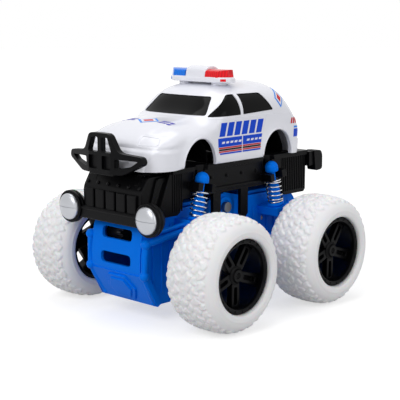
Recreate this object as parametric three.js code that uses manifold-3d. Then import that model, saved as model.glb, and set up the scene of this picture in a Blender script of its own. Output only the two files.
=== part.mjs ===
// A pull-back stunt car with a lifted toy body, two sprung swinging axle units and four soft balloon tyres.
// Millimetres, +Z up, the front of the car faces -Y and its left side is +X.
// The origin is on the ground, under the middle of the car.
import * as THREE from "three";
import { mergeVertices } from "three/addons/utils/BufferGeometryUtils.js";
import Module from "manifold-3d";

const wasm = await Module();
wasm.setup();

// Wheels
const tyreRadius = 30; // from the axle to the flat of a tread lug
const tyreWidth = 31.5;
const tyreBore = 19.2;
const lugHeight = 1.5;
const lugCount = 10; // blocks in each of the tyre's rows
const wheelbase = 78;
const trackWidth = 106; // between the middles of the left and right tyres
const rimRecess = 2.4; // the rim's outer ring lies this far inside the tyre's sidewall
const rimWall = 1.9;
const spokeCount = 5;
const spokeWidth = 5.6;
const spokeDepth = 4;
const hubRadius = 4.6;

// Axle units: the swinging housings with the spring motor, the axle and two shock absorbers
const axleRadius = 1.5;
const axleBossRadius = 5;
const caseHalfWidth = 18.5;
const caseWall = 1.8;
const caseTop = 57.8;
const caseRear = 16.8; // from the cross pin to the case's near end
const groundClearance = 9;
const noseReach = 63.5; // the skid plate's furthest point from the middle of the car
const noseLean = 2; // how far the skid plate's upper edge lies behind that point
const skidHalfWidth = 21.5;
const skidThickness = 3;
const skidSlotWidth = 22.5;
const skidSlotHeight = 5;
const skidSlotSpacing = 13;
const cageTubeRadius = 1.7;
const cageNodeRadius = 2.5;
const coverThickness = 1.8;

// The cross pin that both axle units swing on
const pivotHeight = 54;
const pivotPinRadius = 1.5;
const pivotPostHalfWidth = 10.5;
const pivotPostHalfLength = 7;
const earRadius = 8;
const earThickness = 2.8;

// Shock absorbers
const shockSpread = 28.2; // from the middle of the car to the shock's axis
const shockSeatReach = 32.2; // from the cross pin forwards to the shock's seat
const shockSeatHeight = 52;
const shockLean = 11; // degrees, with the top towards the middle of the car
const shockLength = 20.2; // from the seat to the underside of the head
const shockHeadRadius = 4.2;
const shockNeckRadius = 1.9;
const shockBodyRadius = 2.9;
const shockCollarRadius = 4.6;
const shockCollarHeight = 2;
const shockTravel = 3.4; // the neck's bare length below the lug
const shockStudRadius = 1.5;
const lugThickness = 4.2;
const lugHalfLength = 6.6;
const lugSlotHalfWidth = 3.1;
const springRadius = 4.1; // to the middle of the wire
const springWireRadius = 0.4;
const springTurns = 4.5;

// Spring motor
const gearAddendum = 0.7; // tooth height above the pitch circle, as a share of the module
const gearDedendum = 0.95;
const pinionTeeth = 8;
const wheelTeeth = 18;
const gearThickness = 2.8;
const pressureAngle = 25; // degrees
const gearBacklash = 0.25;
const gearPinRadius = 1.1;
const drumRoom = 2.26; // between the drum's teeth and the inside of the nose
const drumWall = 1;
const drumLength = 9.8;
const mainspringTurns = 4;
const mainspringThickness = 0.4;

// Chassis
const deckTop = 80.2;
const deckThickness = 2.6;
const deckHalfWidth = 27;
const tubHalfWidth = 25.5;
const tubWall = 2.2;
const tubRear = 62;
const tubFront = 48;
const railHeight = 64; // underside of the side rails between the shocks
const panelFoot = 56; // underside of the panels at both ends
const legFoot = 48; // underside of the legs beside the cross pin

// Front fascia: the ribbed engine block, the headlight bar and the pods
const fasciaHalfWidth = 22;
const fasciaWall = 2;
const fasciaOverhang = 2.1; // its face ahead of the skid plate
const fasciaTop = 77.2;
const fasciaChamferRise = 8.2;
const fasciaChamferRun = 5;
const grilleRibCount = 5;
const barOverhang = 2.4; // ahead of the engine block's face
const barFoot = 52.3;
const barHeight = 6.6;
const barThickness = 3;
const headlightSpread = 29.5;
const headlightHeight = 57.4;
const headlightRadius = 7.1;
const headlightSeat = 1.4; // how deep it sits in its pod
const headlightEdge = 0.6;
const headlightDome = 2.6;
const podRadius = 8.6;
const podDepth = 7.4;

// Bumpers
const bumperTop = 99;
const bumperFoot = 77.6;
const bumperFront = 73.5;
const bumperThickness = 3.4;
const bumperHalfWidth = 27.5;
const bumperSweep = 0.22; // how far the wings run back for each millimetre outwards
const tongueGap = 5.6; // between the front bumper's tongue and the deck
const rearBumperReach = 73.5;
const rearBumperHalfWidth = 29;
const rearBumperHeight = 9.1;
const rearBumperBlock = 6; // width of the end blocks

// Body shell
const shellFoot = 80.5;
const shellHalfWidth = 30;
const shellWall = 1.5;
const noseEnd = 62;
const tailEnd = 52.4;
const roofHeight = 120.6;
const beltShare = 0.6; // the belt line's height as a share of the local height
const archSpread = 31; // from the middle of the car to the middle of each wheel arch
const archHalfLength = 12;
const archHeight = 14.5;
const bossRadius = 3;
const bossReachFront = 37;
const bossReachRear = 43;
const screwRadius = 1;
const screwHeadRadius = 2.5;
const screwHeadHeight = 1.6;

// Light bar
const lightBarHalfWidth = 22.4;
const lightBarFront = -4.7;
const lightBarRear = 8.8;
const lightBarFoot = 121.3;
const lensFoot = 124;
const lensTop = 128.2;
const lightBarTop = 129.8;
const lensInnerEnd = 7.5;
const pegRadius = 1.6;
const pegSpread = 12;

// Clearances
const seatGap = 0.3; // between pieces that rest on each other
const fitGap = 0.2; // around pins, studs and shafts
const swingGap = 0.6; // beside pieces that swing past each other

const axleReach = wheelbase / 2;
const axleHeight = tyreRadius;
const tyreMiddle = trackWidth / 2;

// The gears are as large as the case allows ahead of the axle, behind it and above it.
const tipShare = wheelTeeth / 2 + gearAddendum;
const trainLength = (pinionTeeth + wheelTeeth) / 4 + tipShare; // in modules, as is the height
const trainHeight = ((pinionTeeth + wheelTeeth) * Math.sqrt(3)) / 4 + tipShare;
const roomAhead = noseReach - noseLean / 2 - caseWall - drumRoom - axleReach;
const roomBehind = axleReach - caseRear - caseWall - swingGap;
const roomAbove = caseTop - caseWall - swingGap - axleHeight;
const gearModule = Math.min(roomAhead / trainLength, roomBehind / trainLength, roomAbove / trainHeight);
const pitchRadius = (teeth) => (teeth * gearModule) / 2;
const gearDistance = pitchRadius(pinionTeeth) + pitchRadius(wheelTeeth);
const fasciaFront = noseReach + fasciaOverhang;
const barFront = fasciaFront + barOverhang;
const lightBarMiddle = (lightBarFront + lightBarRear) / 2;

const materials = {
  whiteShell: new THREE.MeshStandardMaterial({ color: "#eceef4", roughness: 0.25 }),
  whiteTyre: new THREE.MeshStandardMaterial({ color: "#e9eaee", roughness: 0.7 }),
  blackPlastic: new THREE.MeshStandardMaterial({ color: "#17181b", roughness: 0.45 }),
  blackGloss: new THREE.MeshStandardMaterial({ color: "#0e0f12", roughness: 0.15 }),
  bluePlastic: new THREE.MeshStandardMaterial({ color: "#0b63dc", roughness: 0.35 }),
  redLens: new THREE.MeshStandardMaterial({ color: "#e0101c", roughness: 0.1 }),
  blueLens: new THREE.MeshStandardMaterial({ color: "#1273e6", roughness: 0.1 }),
  silverPlate: new THREE.MeshStandardMaterial({ color: "#d4d6da", roughness: 0.25, metalness: 0.9 }),
  steel: new THREE.MeshStandardMaterial({ color: "#b9bcc2", roughness: 0.3, metalness: 1 }),
  gearPlastic: new THREE.MeshStandardMaterial({ color: "#e8e4d6", roughness: 0.5 }),
};

// Solids and transforms

function solid(geometry) {
  const bare = geometry.index ? geometry.toNonIndexed() : geometry.clone();
  bare.deleteAttribute("normal");
  bare.deleteAttribute("uv");
  const merged = mergeVertices(bare, 1e-4);
  const faces = [];
  for (let i = 0; i < merged.index.count; i += 3) {
    const [a, b, c] = [0, 1, 2].map((k) => merged.index.getX(i + k));
    if (a !== b && b !== c && a !== c) faces.push(a, b, c);
  }
  const build = (triangles) =>
    new wasm.Manifold(
      new wasm.Mesh({
        numProp: 3,
        vertProperties: merged.attributes.position.array,
        triVerts: new Uint32Array(triangles),
      }),
    );
  const made = build(faces);
  return made.volume() > 0 ? made : build(faces.reverse());
}

function geometryOf(body) {
  const { vertProperties, triVerts, numProp, numVert } = body.getMesh();
  const positions = new Float32Array(numVert * 3);
  for (let i = 0; i < numVert; i++) {
    positions.set(vertProperties.subarray(i * numProp, i * numProp + 3), i * 3);
  }
  const geometry = new THREE.BufferGeometry();
  geometry.setAttribute("position", new THREE.BufferAttribute(positions, 3));
  geometry.setIndex(new THREE.BufferAttribute(new Uint32Array(triVerts), 1));
  geometry.computeVertexNormals();
  return geometry;
}

function mesh(name, body, material) {
  const made = new THREE.Mesh(geometryOf(body), material);
  made.name = name;
  return made;
}

const joined = (first, ...rest) => rest.reduce((sum, next) => sum.add(next), first);
const cut = (first, ...rest) => rest.reduce((left, next) => left.subtract(next), first);

// Frames for profiles: a shape's own x and y become two of the car's axes, and its depth runs along the third.
const axisX = new THREE.Vector3(1, 0, 0);
const axisY = new THREE.Vector3(0, 1, 0);
const axisZ = new THREE.Vector3(0, 0, 1);
const sideFrame = new THREE.Matrix4().makeBasis(axisY, axisZ, axisX);
const frontFrame = new THREE.Matrix4().makeBasis(axisX, axisZ, axisY.clone().negate());

function boxGeometry([x0, x1], [y0, y1], [z0, z1]) {
  const geometry = new THREE.BoxGeometry(x1 - x0, y1 - y0, z1 - z0);
  return geometry.translate((x0 + x1) / 2, (y0 + y1) / 2, (z0 + z1) / 2);
}

const box = (xs, ys, zs) => solid(boxGeometry(xs, ys, zs));

// A closed outline through [x, y] corners, each rounded off by its own optional radius.
function outline(corners) {
  const points = corners.map(([x, y]) => new THREE.Vector2(x, y));
  const shape = new THREE.Shape();
  corners.forEach(([, , radius = 0], i) => {
    const here = points[i];
    const before = points[(i + points.length - 1) % points.length];
    const after = points[(i + 1) % points.length];
    const towards = (to) => {
      const reach = Math.min(radius, here.distanceTo(to) * 0.49);
      return here.clone().add(to.clone().sub(here).setLength(reach));
    };
    const enter = radius ? towards(before) : here;
    if (i === 0) shape.moveTo(enter.x, enter.y);
    else shape.lineTo(enter.x, enter.y);
    if (radius) {
      const leave = towards(after);
      shape.quadraticCurveTo(here.x, here.y, leave.x, leave.y);
    }
  });
  shape.closePath();
  return shape;
}

// A convex outline's corners moved in by a wall thickness.
function inset(corners, distance) {
  const points = corners.map(([x, y]) => new THREE.Vector2(x, y));
  const turn = THREE.ShapeUtils.area(points) > 0 ? 1 : -1;
  const edges = points.map((from, i) => {
    const along = points[(i + 1) % points.length].clone().sub(from).normalize();
    const inward = new THREE.Vector2(-along.y, along.x).multiplyScalar(turn);
    return { from: from.clone().addScaledVector(inward, distance), along };
  });
  return edges.map((edge, i) => {
    const last = edges[(i + edges.length - 1) % edges.length];
    const gap = edge.from.clone().sub(last.from);
    const share = gap.cross(edge.along) / last.along.cross(edge.along);
    const corner = last.from.clone().addScaledVector(last.along, share);
    return [corner.x, corner.y];
  });
}

function extruded(shape, depth, roundSteps = 4) {
  return new THREE.ExtrudeGeometry(shape, { depth, bevelEnabled: false, curveSegments: roundSteps });
}

// A side profile in Y and Z, from one X to another.
function sidePlate(shape, x0, x1, roundSteps) {
  return solid(extruded(shape, x1 - x0, roundSteps).translate(0, 0, x0).applyMatrix4(sideFrame));
}

// A front profile in X and Z, from one Y to another.
function frontPlate(shape, y0, y1, roundSteps) {
  return solid(extruded(shape, y1 - y0, roundSteps).translate(0, 0, -y1).applyMatrix4(frontFrame));
}

// A round bar along X.
function crossBar(radius, x0, x1, y, z, sides = 10) {
  const geometry = new THREE.CylinderGeometry(radius, radius, x1 - x0, sides).rotateZ(Math.PI / 2);
  return solid(geometry.translate((x0 + x1) / 2, y, z));
}

// A round bar along Z.
function uprightBar(radius, x, y, z0, z1, sides = 10) {
  const geometry = new THREE.CylinderGeometry(radius, radius, z1 - z0, sides).rotateX(Math.PI / 2);
  return solid(geometry.translate(x, y, (z0 + z1) / 2));
}

// A profile of [radius, height] turned about its height axis, which then points along Z.
function turnedGeometry(profile, sides) {
  const points = profile.map(([radius, height]) => new THREE.Vector2(radius, height));
  return new THREE.LatheGeometry(points, sides).rotateX(Math.PI / 2);
}

const turned = (profile, sides = 20) => solid(turnedGeometry(profile, sides));

// The same profile turned about the X axis.
const turnedAcross = (profile, sides) => solid(turnedGeometry(profile, sides).rotateY(Math.PI / 2));

// A round bar between two points.
function barBetween(from, to, radius, sides = 6) {
  const along = to.clone().sub(from);
  const turn = new THREE.Quaternion().setFromUnitVectors(axisY, along.clone().normalize());
  const bar = new THREE.CylinderGeometry(radius, radius, along.length(), sides).applyQuaternion(turn);
  const middle = from.clone().addScaledVector(along, 0.5);
  return solid(bar.translate(middle.x, middle.y, middle.z));
}

// A skin over rings of points, one ring after the other, closed by a flat cap at each end or joined into a loop.
function skin(rings, looped = false) {
  const count = rings[0].length;
  const positions = rings.flat().flatMap((p) => [p.x, p.y, p.z]);
  const faces = [];
  const bands = looped ? rings.length : rings.length - 1;
  for (let band = 0; band < bands; band++) {
    const here = band * count;
    const next = ((band + 1) % rings.length) * count;
    for (let i = 0; i < count; i++) {
      const j = (i + 1) % count;
      faces.push(here + i, here + j, next + j, here + i, next + j, next + i);
    }
  }
  if (!looped) {
    const last = (rings.length - 1) * count;
    for (let i = 1; i < count - 1; i++) {
      faces.push(0, i + 1, i, last, last + i, last + i + 1);
    }
  }
  const geometry = new THREE.BufferGeometry();
  geometry.setAttribute("position", new THREE.Float32BufferAttribute(positions, 3));
  geometry.setIndex(faces);
  return geometry;
}

// A tyre skinned round its axle. Blocks on the shoulders and blocks round the middle take turns.
function tyreBody() {
  const half = tyreWidth / 2;
  const ground = tyreRadius - lugHeight;
  const pitch = (2 * Math.PI) / lugCount;
  const lugHalf = pitch * 0.24;
  const crown = tyreRadius / Math.cos(lugHalf);
  const section = (turn, onMiddle) => {
    const shoulder = ground - 0.8 + (onMiddle ? 0 : lugHeight);
    const side = [
      [tyreBore, half - rimRecess],
      [tyreBore + 3.4, half],
      [shoulder - 1, half - 2.6],
      [shoulder, half - 8],
      [onMiddle ? crown : ground, half - 9],
    ];
    const mirrored = side.map(([radius, across]) => [radius, -across]).reverse();
    return [...side, ...mirrored].map(
      ([radius, across]) => new THREE.Vector3(across, radius * Math.sin(turn), -radius * Math.cos(turn)),
    );
  };
  const rings = Array.from({ length: lugCount }, (_, i) => [
    section(i * pitch - lugHalf, true),
    section(i * pitch + lugHalf, true),
    section((i + 0.5) * pitch - lugHalf, false),
    section((i + 0.5) * pitch + lugHalf, false),
  ]).flat();
  return solid(skin(rings, true));
}

// A dished rim: an open barrel, a ring of five paired spokes near its outer end and a hub on the axle.
function rimBody() {
  const outer = tyreWidth / 2 - rimRecess;
  const barrelRadius = tyreBore - seatGap;
  const innerRadius = barrelRadius - rimWall;
  const spokeFace = outer - 4.4;
  const spokeBack = spokeFace - spokeDepth;
  const hubFace = spokeFace + 1.4;
  const hubBack = axleBossEnd + seatGap - tyreMiddle;
  const barrel = turnedAcross(
    [
      [innerRadius, -outer],
      [barrelRadius, -outer],
      [barrelRadius, outer],
      [innerRadius, outer],
      [innerRadius, -outer],
    ],
    20,
  );
  const hub = turnedAcross(
    [
      [0, hubFace],
      [hubRadius, hubFace],
      [hubRadius, spokeBack - 2],
      [axleRadius + 1.7, spokeBack - 4],
      [axleRadius + 1.7, hubBack],
      [0, hubBack],
    ],
    10,
  );
  const spokeLength = innerRadius + rimWall / 2;
  const spokes = [];
  for (let i = 0; i < spokeCount; i++) {
    const turn = (i * 2 * Math.PI) / spokeCount;
    const blade = boxGeometry(
      [spokeBack, spokeFace],
      [-spokeWidth / 2, spokeWidth / 2],
      [hubRadius - 1, spokeLength],
    );
    spokes.push(solid(blade.rotateX(turn)));
  }
  const bore = crossBar(axleRadius + fitGap, hubBack - 1, axleEnd - tyreMiddle + seatGap, 0, 0, 10);
  return cut(joined(barrel, hub, ...spokes), bore);
}

const axleBossEnd = tyreMiddle - tyreWidth / 2 - 3;
const axleEnd = tyreMiddle + tyreWidth / 2 - rimRecess - 5;

// Spring motor places, in the front axle unit
const axlePlace = { y: -axleReach, z: axleHeight };
const idlerPlace = {
  y: axlePlace.y + gearDistance / 2,
  z: axlePlace.z + (gearDistance * Math.sqrt(3)) / 2,
};
const drumPlace = { y: idlerPlace.y - gearDistance, z: idlerPlace.z };
const drumGearFrom = -gearThickness - 1.8;
const drumGearTo = -1.8;
const idlerWheelFrom = -1.2;
const idlerWheelTo = idlerWheelFrom + gearThickness;
const caseInside = caseHalfWidth - caseWall;

// A spur gear's teeth: each flank is the chord of its involute between the root and the tip.
function gearShape(teeth, phase, boreRadius) {
  const pitch = pitchRadius(teeth);
  const angle = THREE.MathUtils.degToRad(pressureAngle);
  const base = pitch * Math.cos(angle);
  const tip = pitch + gearAddendum * gearModule;
  const root = pitch - gearDedendum * gearModule;
  const involute = (a) => Math.tan(a) - a;
  const halfAtPitch = ((Math.PI * gearModule) / 2 - gearBacklash) / (2 * pitch);
  const halfAt = (radius) =>
    halfAtPitch + involute(angle) - involute(Math.acos(Math.min(1, base / Math.max(radius, base))));
  const shape = new THREE.Shape();
  for (let i = 0; i < teeth; i++) {
    const middle = phase + (i * 2 * Math.PI) / teeth;
    const corners = [
      [root, middle - halfAt(root)],
      [tip, middle - halfAt(tip)],
      [tip, middle + halfAt(tip)],
      [root, middle + halfAt(root)],
    ];
    corners.forEach(([radius, turn], k) => {
      const point = [radius * Math.cos(turn), radius * Math.sin(turn)];
      if (i === 0 && k === 0) shape.moveTo(...point);
      else shape.lineTo(...point);
    });
  }
  shape.closePath();
  shape.holes.push(new THREE.Path().absarc(0, 0, boreRadius, 0, 2 * Math.PI, true));
  return shape;
}

const gear = (teeth, phase, boreRadius, x0, x1) => sidePlate(gearShape(teeth, phase, boreRadius), x0, x1, 4);

// Tooth phases that put the train in mesh at rest: a tooth of one gear faces a gap of the other.
const towardsIdler = Math.atan2(idlerPlace.z - axlePlace.z, idlerPlace.y - axlePlace.y);
const halfTooth = (teeth) => Math.PI / teeth;
const axlePinionPhase = towardsIdler;
const idlerWheelPhase = towardsIdler + Math.PI + halfTooth(wheelTeeth);
const idlerPinionPhase = Math.PI;
const drumPhase = halfTooth(wheelTeeth);

function tube(outer, inner, x0, x1, sides = 8) {
  return cut(crossBar(outer, x0, x1, 0, 0, sides), crossBar(inner, x0 - 1, x1 + 1, 0, 0, sides));
}

function idlerGear() {
  const bore = gearPinRadius + fitGap;
  const sleeve = tube(gearPinRadius + 1.3, bore, -caseInside + seatGap, caseInside - seatGap);
  const wheel = gear(wheelTeeth, idlerWheelPhase, bore, idlerWheelFrom, idlerWheelTo);
  const pinion = gear(pinionTeeth, idlerPinionPhase, bore, drumGearFrom - 0.3, idlerWheelFrom);
  return joined(sleeve, wheel, pinion);
}

const drumRadius = pitchRadius(wheelTeeth) - gearDedendum * gearModule - fitGap;
const drumOpenEnd = drumGearFrom - drumLength;

function springDrum() {
  const bore = gearPinRadius + fitGap;
  const sleeve = tube(gearPinRadius + 1.3, bore, drumGearFrom, caseInside - seatGap);
  const toothedDisc = gear(wheelTeeth, drumPhase, bore, drumGearFrom, drumGearTo);
  const wall = tube(drumRadius, drumRadius - drumWall, drumOpenEnd, drumGearFrom, 16);
  return joined(toothedDisc, wall, sleeve);
}

function drumLid() {
  const disc = tube(drumRadius - drumWall - fitGap, gearPinRadius + fitGap, drumOpenEnd, drumOpenEnd + 1.4, 16);
  const spacer = tube(gearPinRadius + 1.3, gearPinRadius + fitGap, -caseInside + seatGap, drumOpenEnd + 1);
  return joined(disc, spacer);
}

// The clock spring: a flat strip wound outwards from the arbor to the drum's wall.
function mainspring() {
  const inner = gearPinRadius + 0.9;
  const outer = drumRadius - drumWall - mainspringThickness / 2 - seatGap;
  const steps = mainspringTurns * 12;
  const halfStrip = mainspringThickness / 2;
  const from = drumOpenEnd + 1.4 + seatGap;
  const to = drumGearFrom - seatGap;
  const rings = [];
  for (let i = 0; i <= steps; i++) {
    const turn = (i / steps) * mainspringTurns * 2 * Math.PI;
    const radius = inner + ((outer - inner) * i) / steps;
    const at = (r, x) => new THREE.Vector3(x, r * Math.cos(turn), r * Math.sin(turn));
    rings.push([
      at(radius - halfStrip, from),
      at(radius + halfStrip, from),
      at(radius + halfStrip, to),
      at(radius - halfStrip, to),
    ]);
  }
  const gap = (outer - inner) / mainspringTurns - mainspringThickness;
  console.log(`mainspring: least gap between turns ${gap.toFixed(2)} mm`);
  return solid(skin(rings));
}

// Shock absorbers, built along their own axis with the seat at height 0

const shockLugTop = shockLength - seatGap;
const shockLugFoot = shockLugTop - lugThickness;
const shockFrame = (hand) =>
  new THREE.Matrix4()
    .makeTranslation(hand * shockSpread, -shockSeatReach, shockSeatHeight)
    .multiply(new THREE.Matrix4().makeRotationX(THREE.MathUtils.degToRad(-shockLean)));
const inShockFrame = (geometry, hand) => solid(geometry.applyMatrix4(shockFrame(hand)));

const shockStudLength = 3.4;

function shockPostGeometry() {
  const bodyTop = shockLugFoot - shockTravel;
  const dome = [];
  for (let i = 0; i <= 3; i++) {
    const turn = (i / 3) * (Math.PI / 2);
    dome.push([shockHeadRadius * Math.cos(turn), shockLength + 1.6 + shockHeadRadius * Math.sin(turn) * 0.95]);
  }
  dome[3][0] = 0;
  return turnedGeometry(
    [
      [0, -shockStudLength],
      [shockStudRadius, -shockStudLength],
      [shockStudRadius, seatGap],
      [shockCollarRadius, seatGap],
      [shockCollarRadius, shockCollarHeight],
      [shockBodyRadius, shockCollarHeight],
      [shockBodyRadius, bodyTop - 0.8],
      [shockNeckRadius, bodyTop],
      [shockNeckRadius, shockLength],
      [shockHeadRadius - 0.5, shockLength],
      ...dome,
    ],
    9,
  );
}

// A round-wire compression spring: one unbroken tube whose ends run straight for a wire's thickness.
function coilSpringGeometry() {
  const stepsPerTurn = 8;
  const sides = 5;
  const from = shockCollarHeight + seatGap + springWireRadius;
  const to = shockLugFoot - seatGap - springWireRadius;
  const steps = Math.round(springTurns * stepsPerTurn);
  const points = [];
  for (let i = 0; i <= steps; i++) {
    const turn = (i / stepsPerTurn) * 2 * Math.PI;
    const height = from + ((to - from) * i) / steps;
    points.push(new THREE.Vector3(springRadius * Math.cos(turn), springRadius * Math.sin(turn), height));
  }
  const straight = (end, inner) => {
    const along = end.clone().sub(inner).setZ(0).setLength(2 * springWireRadius);
    return end.clone().add(along);
  };
  points.unshift(straight(points[0], points[1]));
  points.push(straight(points[points.length - 1], points[points.length - 2]));
  const rings = points.map((point, i) => {
    const ahead = points[Math.min(i + 1, points.length - 1)];
    const behind = points[Math.max(i - 1, 0)];
    const along = ahead.clone().sub(behind).normalize();
    const outwards = new THREE.Vector3(point.x, point.y, 0).projectOnPlane(along).normalize();
    const across = along.clone().cross(outwards);
    return Array.from({ length: sides }, (_, k) => {
      const turn = (k / sides) * 2 * Math.PI;
      return point
        .clone()
        .addScaledVector(outwards, springWireRadius * Math.cos(turn))
        .addScaledVector(across, springWireRadius * Math.sin(turn));
    });
  });
  let least = Infinity;
  points.forEach((a, i) =>
    points.slice(i + stepsPerTurn - 1).forEach((b) => {
      least = Math.min(least, a.distanceTo(b));
    }),
  );
  console.log(`coil spring: least gap to itself ${(least - 2 * springWireRadius).toFixed(2)} mm`);
  return skin(rings);
}

// Axle housing: a hollow case with a slotted skid plate, two pivot ears, shock seats and a tubular cage

const caseCorners = [
  [-noseReach + noseLean, 50.5],
  [-noseReach, 36],
  [-noseReach, 26],
  [-noseReach + 9.5, groundClearance],
  [-caseRear - 8, groundClearance],
  [-caseRear, groundClearance + 9],
  [-caseRear, caseTop],
  [-noseReach + 8.5, caseTop],
];
const outerEar = [caseHalfWidth - earThickness, caseHalfWidth];
const innerEarFrom = pivotPostHalfWidth + swingGap;
const innerEar = [innerEarFrom, innerEarFrom + earThickness];
const coverOpening = { front: -noseReach + 11, rear: -caseRear - 5, halfWidth: caseInside - 2 };

function ear([x0, x1]) {
  const blade = outline([
    [-caseRear - caseWall, pivotHeight - earRadius - 4],
    [0, pivotHeight - earRadius],
    [0, pivotHeight + earRadius],
    [-caseRear - caseWall / 2, caseTop],
  ]);
  return joined(sidePlate(blade, x0, x1), crossBar(earRadius, x0, x1, 0, pivotHeight, 14));
}

function skidPlate() {
  const [front, foot] = [caseCorners[2], caseCorners[3]];
  const along = new THREE.Vector2(foot[0] - front[0], foot[1] - front[1]).normalize();
  const outwards = new THREE.Vector2(along.y, -along.x).multiplyScalar(-1);
  const lift = (point, distance) => [point[0] - outwards.x * distance, point[1] - outwards.y * distance];
  const plate = outline([lift(front, 0), lift(foot, 0), lift(foot, -skidThickness), lift(front, -skidThickness)]);
  return sidePlate(plate, -skidHalfWidth, skidHalfWidth);
}

function skidSlot(height) {
  const reach = skidSlotWidth / 2;
  const slot = outline([
    [-reach, height - skidSlotHeight / 2, 1.8],
    [reach, height - skidSlotHeight / 2, 1.8],
    [reach, height + skidSlotHeight / 2, 1.8],
    [-reach, height + skidSlotHeight / 2, 1.8],
  ]);
  return frontPlate(slot, -noseReach - 4, -noseReach + caseWall + 2.4, 1);
}

function cageTubes(hand) {
  const upper = new THREE.Vector3(hand * 21, -noseReach + 1.6, 42.9);
  const lower = new THREE.Vector3(hand * 20.4, -noseReach + 1, 26.5);
  const rear = new THREE.Vector3(hand * (shockSpread - 2), -shockSeatReach - 6, shockSeatHeight - 4.4);
  const balls = [upper, lower].map((end) =>
    solid(new THREE.SphereGeometry(cageNodeRadius, 6, 4).translate(end.x, end.y, end.z)),
  );
  const web = box(
    hand > 0 ? [caseHalfWidth - 1, 20.6] : [-20.6, -caseHalfWidth + 1],
    [-noseReach + 2, -noseReach + 5],
    [24, 45],
  );
  return joined(barBetween(lower, upper, cageTubeRadius), barBetween(upper, rear, cageTubeRadius), web, ...balls);
}

function shockSeat(hand) {
  const inboard = caseHalfWidth - 1 - shockSpread;
  const xs = hand > 0 ? [inboard, 4.9] : [-4.9, -inboard];
  return cut(
    inShockFrame(boxGeometry(xs, [-6.4, 5], [-4.6, 0]), hand),
    inShockFrame(
      new THREE.CylinderGeometry(shockStudRadius + fitGap, shockStudRadius + fitGap, 12, 9).rotateX(Math.PI / 2),
      hand,
    ),
  );
}

function axleHousing() {
  const rounded = caseCorners.map(([y, z]) => [y, z, 2]);
  const shell = sidePlate(outline(rounded), -caseHalfWidth, caseHalfWidth, 1);
  const cavity = sidePlate(outline(inset(caseCorners, caseWall)), -caseInside, caseInside);
  const mouth = box(
    [-coverOpening.halfWidth, coverOpening.halfWidth],
    [coverOpening.front, coverOpening.rear],
    [caseTop - caseWall - 1, caseTop + 1],
  );
  const hands = [1, -1];
  const bosses = hands.map((hand) => {
    const ends = [caseHalfWidth - 1, axleBossEnd].map((x) => hand * x).sort((a, b) => a - b);
    return crossBar(axleBossRadius, ...ends, axlePlace.y, axlePlace.z);
  });
  const body = joined(
    cut(shell, cavity, mouth),
    ...bosses,
    skidPlate().subtract(cavity),
    ear(outerEar),
    ear(innerEar.map((x) => -x).reverse()),
    ...hands.map((hand) => cageTubes(hand).subtract(cavity)),
    ...hands.map(shockSeat),
  );
  const reach = axleBossEnd + 2;
  return cut(
    body,
    crossBar(axleRadius + fitGap, -reach, reach, axlePlace.y, axlePlace.z),
    crossBar(gearPinRadius + fitGap, -reach, reach, idlerPlace.y, idlerPlace.z, 8),
    crossBar(gearPinRadius + fitGap, -reach, reach, drumPlace.y, drumPlace.z, 8),
    crossBar(pivotPinRadius + fitGap, -reach, reach, 0, pivotHeight, 10),
    skidSlot(45.8),
    skidSlot(45.8 - skidSlotSpacing),
  );
}

const coverScrewPlaces = [coverOpening.front - 1.4, coverOpening.rear + 1.6];

function gearCover() {
  const from = caseTop + seatGap;
  const plate = box(
    [-caseInside, caseInside],
    [coverOpening.front - 2.4, coverOpening.rear + 3],
    [from, from + coverThickness],
  );
  const rib = box(
    [-coverOpening.halfWidth + 1, coverOpening.halfWidth - 1],
    [coverOpening.front + seatGap, coverOpening.front + 1.6],
    [caseTop - caseWall + 0.2, from + 0.5],
  );
  return joined(plate, rib);
}

// One axle unit in the front's place. The rear one is the same unit turned half round.
function axleUnit(end, plusSide, minusSide) {
  const unit = new THREE.Group();
  const sides = [
    [1, plusSide],
    [-1, minusSide],
  ];
  const at = (piece, { y, z }) => {
    piece.position.set(0, y, z);
    return piece;
  };
  unit.add(
    mesh(`${end}_axle_housing`, axleHousing(), materials.bluePlastic),
    mesh(`${end}_gear_cover`, gearCover(), materials.bluePlastic),
    at(mesh(`${end}_idler_gear`, idlerGear(), materials.gearPlastic), idlerPlace),
    at(mesh(`${end}_spring_drum`, springDrum(), materials.gearPlastic), drumPlace),
    at(mesh(`${end}_drum_lid`, drumLid(), materials.gearPlastic), drumPlace),
    at(mesh(`${end}_mainspring`, mainspring(), materials.steel), drumPlace),
    at(
      mesh(`${end}_idler_pin`, crossBar(gearPinRadius, -caseHalfWidth, caseHalfWidth, 0, 0, 8), materials.steel),
      idlerPlace,
    ),
    at(
      mesh(`${end}_drum_arbor`, crossBar(gearPinRadius, -caseHalfWidth, caseHalfWidth, 0, 0, 8), materials.steel),
      drumPlace,
    ),
    at(mesh(`${end}_axle`, crossBar(axleRadius, -axleEnd, axleEnd, 0, 0), materials.steel), axlePlace),
    at(
      mesh(
        `${end}_axle_pinion`,
        gear(pinionTeeth, axlePinionPhase, axleRadius + fitGap, idlerWheelFrom - 0.2, idlerWheelTo + 0.2),
        materials.gearPlastic,
      ),
      axlePlace,
    ),
  );
  for (const [hand, side] of sides) {
    const post = mesh(`${end}_shock_post_${side}`, solid(shockPostGeometry()), materials.bluePlastic);
    const spring = mesh(`${end}_spring_${side}`, solid(coilSpringGeometry()), materials.steel);
    for (const piece of [post, spring]) {
      shockFrame(hand).decompose(piece.position, piece.quaternion, piece.scale);
    }
    const rim = mesh(`${end}_rim_${side}`, rimBody(), materials.blackPlastic);
    const tyre = mesh(`${end}_tyre_${side}`, tyreBody(), materials.whiteTyre);
    for (const piece of [rim, tyre]) {
      piece.position.set(hand * tyreMiddle, axlePlace.y, axlePlace.z);
      if (hand < 0) piece.rotation.z = Math.PI;
    }
    unit.add(post, spring, rim, tyre);
  }
  return unit;
}

// Chassis: a deck with side walls, forked lugs for the shock heads and a post for the cross pin

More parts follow.
